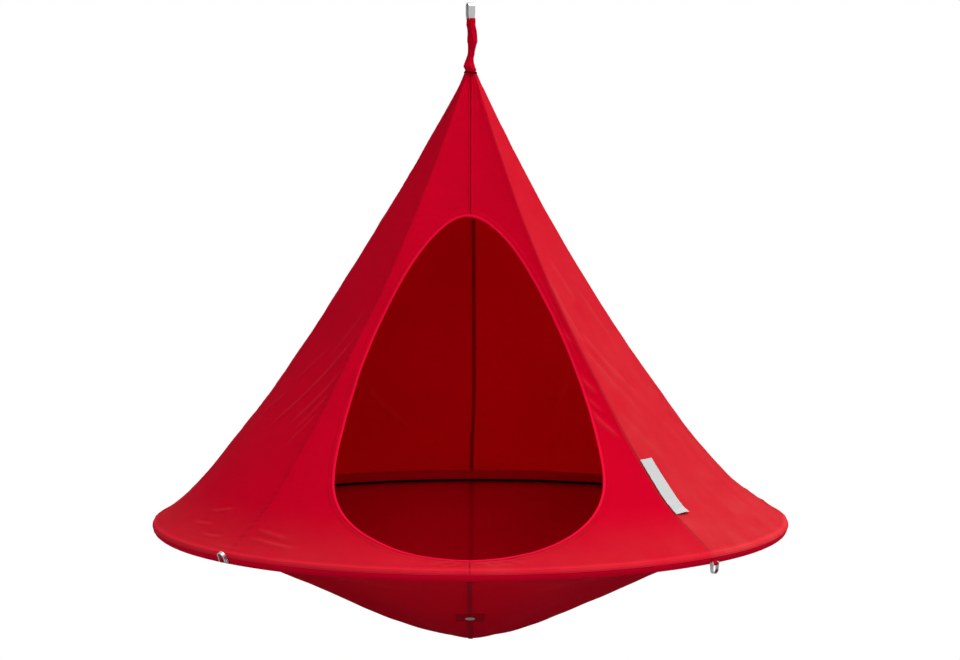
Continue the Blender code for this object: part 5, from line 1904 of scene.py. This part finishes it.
# %% Side tabs
def tab_path(angle):
    """From the rim's seam down the sleeve, and round the side pin."""
    on_sleeve = sleeve_radius + 0.0003 + tab_thickness / 2
    path = [(*round_tube(turn, on_sleeve), 0.0) for turn in np.linspace(hem_angle, angle + 0.30, 6)]
    turns = np.linspace(angle + math.radians(120), angle - math.radians(170), 16)
    around = side_pin_radius + pin_slack + tab_thickness / 2
    path += round_pin(round_tube(angle, side_pin_reach), around, turns)
    return [(reach, height + ring_height, drift) for reach, height, drift in path]


for side, (azimuth, tab_angle, _) in side_places.items():
    webbing_band(
        f"{side}_tie_tab", tab_path(tab_angle), radial(azimuth), along_ring(azimuth), tab_width,
        tab_thickness, f"{side}_tab",
    )
print("tabs for", sorted(side_places))

# %% [markdown]
# The ring is five bent aluminium tubes, joined by short sleeves pushed inside. They are out of
# sight in the finished nest, but they are part of it. A circle of vertices is spun round the nest's
# axis to make each tube, and its wall comes last.

# %% Ring tubes
ring_parts = 5
section_span = math.tau / ring_parts
first_joint = math.radians(36)
joint_gap = 0.00015 / ring_radius
joiner_half = 0.040 / ring_radius


def spun_tube(name, node, start, turn, radius, wall, steps):
    """A circle of points spun round the nest's axis, then given its wall."""
    deselect()
    bpy.ops.mesh.primitive_circle_add(vertices=24, radius=radius)
    tube = bpy.context.object
    tube.name = tube.data.name = name
    way = Vector(radial(start).tolist())
    up = Vector((0, 0, 1))
    matrix = Matrix((way, up, way.cross(up))).transposed().to_4x4()
    tube.data.transform(Matrix.Translation(way * ring_radius + up * ring_height) @ matrix)
    middle = (0, 0, ring_height)
    in_edit(
        tube, lambda: bpy.ops.mesh.spin(steps=steps, angle=turn, center=middle, axis=(0, 0, 1))
    )
    merge(tube)
    turn_outwards(tube)
    test = tube.data.polygons[len(tube.data.polygons) // 2]
    core = radial(math.atan2(test.center.x, -test.center.y)) * ring_radius
    core[2] = ring_height
    if np.dot(np.array(test.normal), np.array(test.center) - core) < 0:
        in_edit(tube, bpy.ops.mesh.flip_normals)
    give_wall(tube, wall)
    make_smooth(tube)
    finish_piece(tube, mill_aluminium, [node])


for number in range(ring_parts):
    start = first_joint + number * section_span
    spun_tube(
        f"ring_section_{number + 1}", f"ring_tube_{number + 1}", start + joint_gap,
        section_span - 2 * joint_gap, tube_radius, wall=0.0016, steps=48,
    )
    spun_tube(
        f"ring_joiner_{number + 1}", f"ring_spigot_{number + 1}", start - joiner_half,
        2 * joiner_half, tube_radius - 0.0019, wall=0.0015, steps=8,
    )
print("ring of", ring_parts, "sections")

# %% [markdown]

# %% [markdown]
# The floor is plain and pale, well below the nest, as the ground is under a nest on a branch. The
# camera sees it as white paper, but it still takes the nest's shadow. The key light comes from
# high on the right, a weaker one from the front, and the pale sky fills the rest.


# %% Floor and sky
def seen_directly(tree):
    """1 where the camera looks straight, in a mirror or through glass, 0 for light on its way."""
    path = add_node(tree, "ShaderNodeLightPath")
    seen = maths(tree, "MAXIMUM", path.outputs["Is Camera Ray"], path.outputs["Is Glossy Ray"])
    return maths(tree, "MAXIMUM", seen, path.outputs["Is Transmission Ray"])


floor_height = -1.95
deselect()
bpy.ops.mesh.primitive_plane_add(size=80, location=(0, 0, floor_height))
ground = bpy.context.object
ground.name = "ground"
paper, tree, shader = new_finish("paper")
set_inputs(shader, Base_Color=(0.36, 0.36, 0.35, 1), Roughness=0.9)
white = add_node(tree, "ShaderNodeEmission", Strength=1.0)
far = add_node(tree, "ShaderNodeVectorMath", operation="LENGTH")
link(tree, add_node(tree, "ShaderNodeTexCoord").outputs["Object"], far.inputs[0])
fade = add_node(tree, "ShaderNodeMapRange", interpolation_type="SMOOTHSTEP")
set_inputs(fade, From_Min=0.6, From_Max=1.9, To_Min=0.70)
link(tree, far.outputs["Value"], fade.inputs["Value"])
share = maths(tree, "MULTIPLY", seen_directly(tree), fade.outputs["Result"])
mix_into(tree, share, shader.outputs[0], white.outputs[0])
ground.data.materials.append(paper)

world = bpy.data.worlds.new("sky")
bpy.context.scene.world = world
world.use_nodes = True
tree = world.node_tree
sky = set_inputs(tree.nodes["Background"], Color=(0.95, 0.97, 1.0, 1), Strength=0.52)
plain = add_node(tree, "ShaderNodeBackground", Color=(1, 1, 1, 1))
mix_into(tree, seen_directly(tree), sky.outputs[0], plain.outputs[0], "World Output")
print("floor at", floor_height)


# %% Lamps
def soft_lamp(name, place, target, size, power):
    """A square lamp, this wide, that points at its target."""
    lamp = bpy.data.objects.new(name, bpy.data.lights.new(name, "AREA"))
    bpy.context.scene.collection.objects.link(lamp)
    lamp.data.size = size
    lamp.data.energy = power
    lamp.location = place
    lamp.rotation_euler = (Vector(target) - Vector(place)).to_track_quat("-Z", "Y").to_euler()


nest_middle = (0, 0, -0.9)
soft_lamp("key_lamp", place=(2.3, -0.4, 3.8), target=nest_middle, size=2.2, power=236)
soft_lamp("front_lamp", place=(0.4, -4.8, 2.8), target=nest_middle, size=2.4, power=80)
print("lamps set")
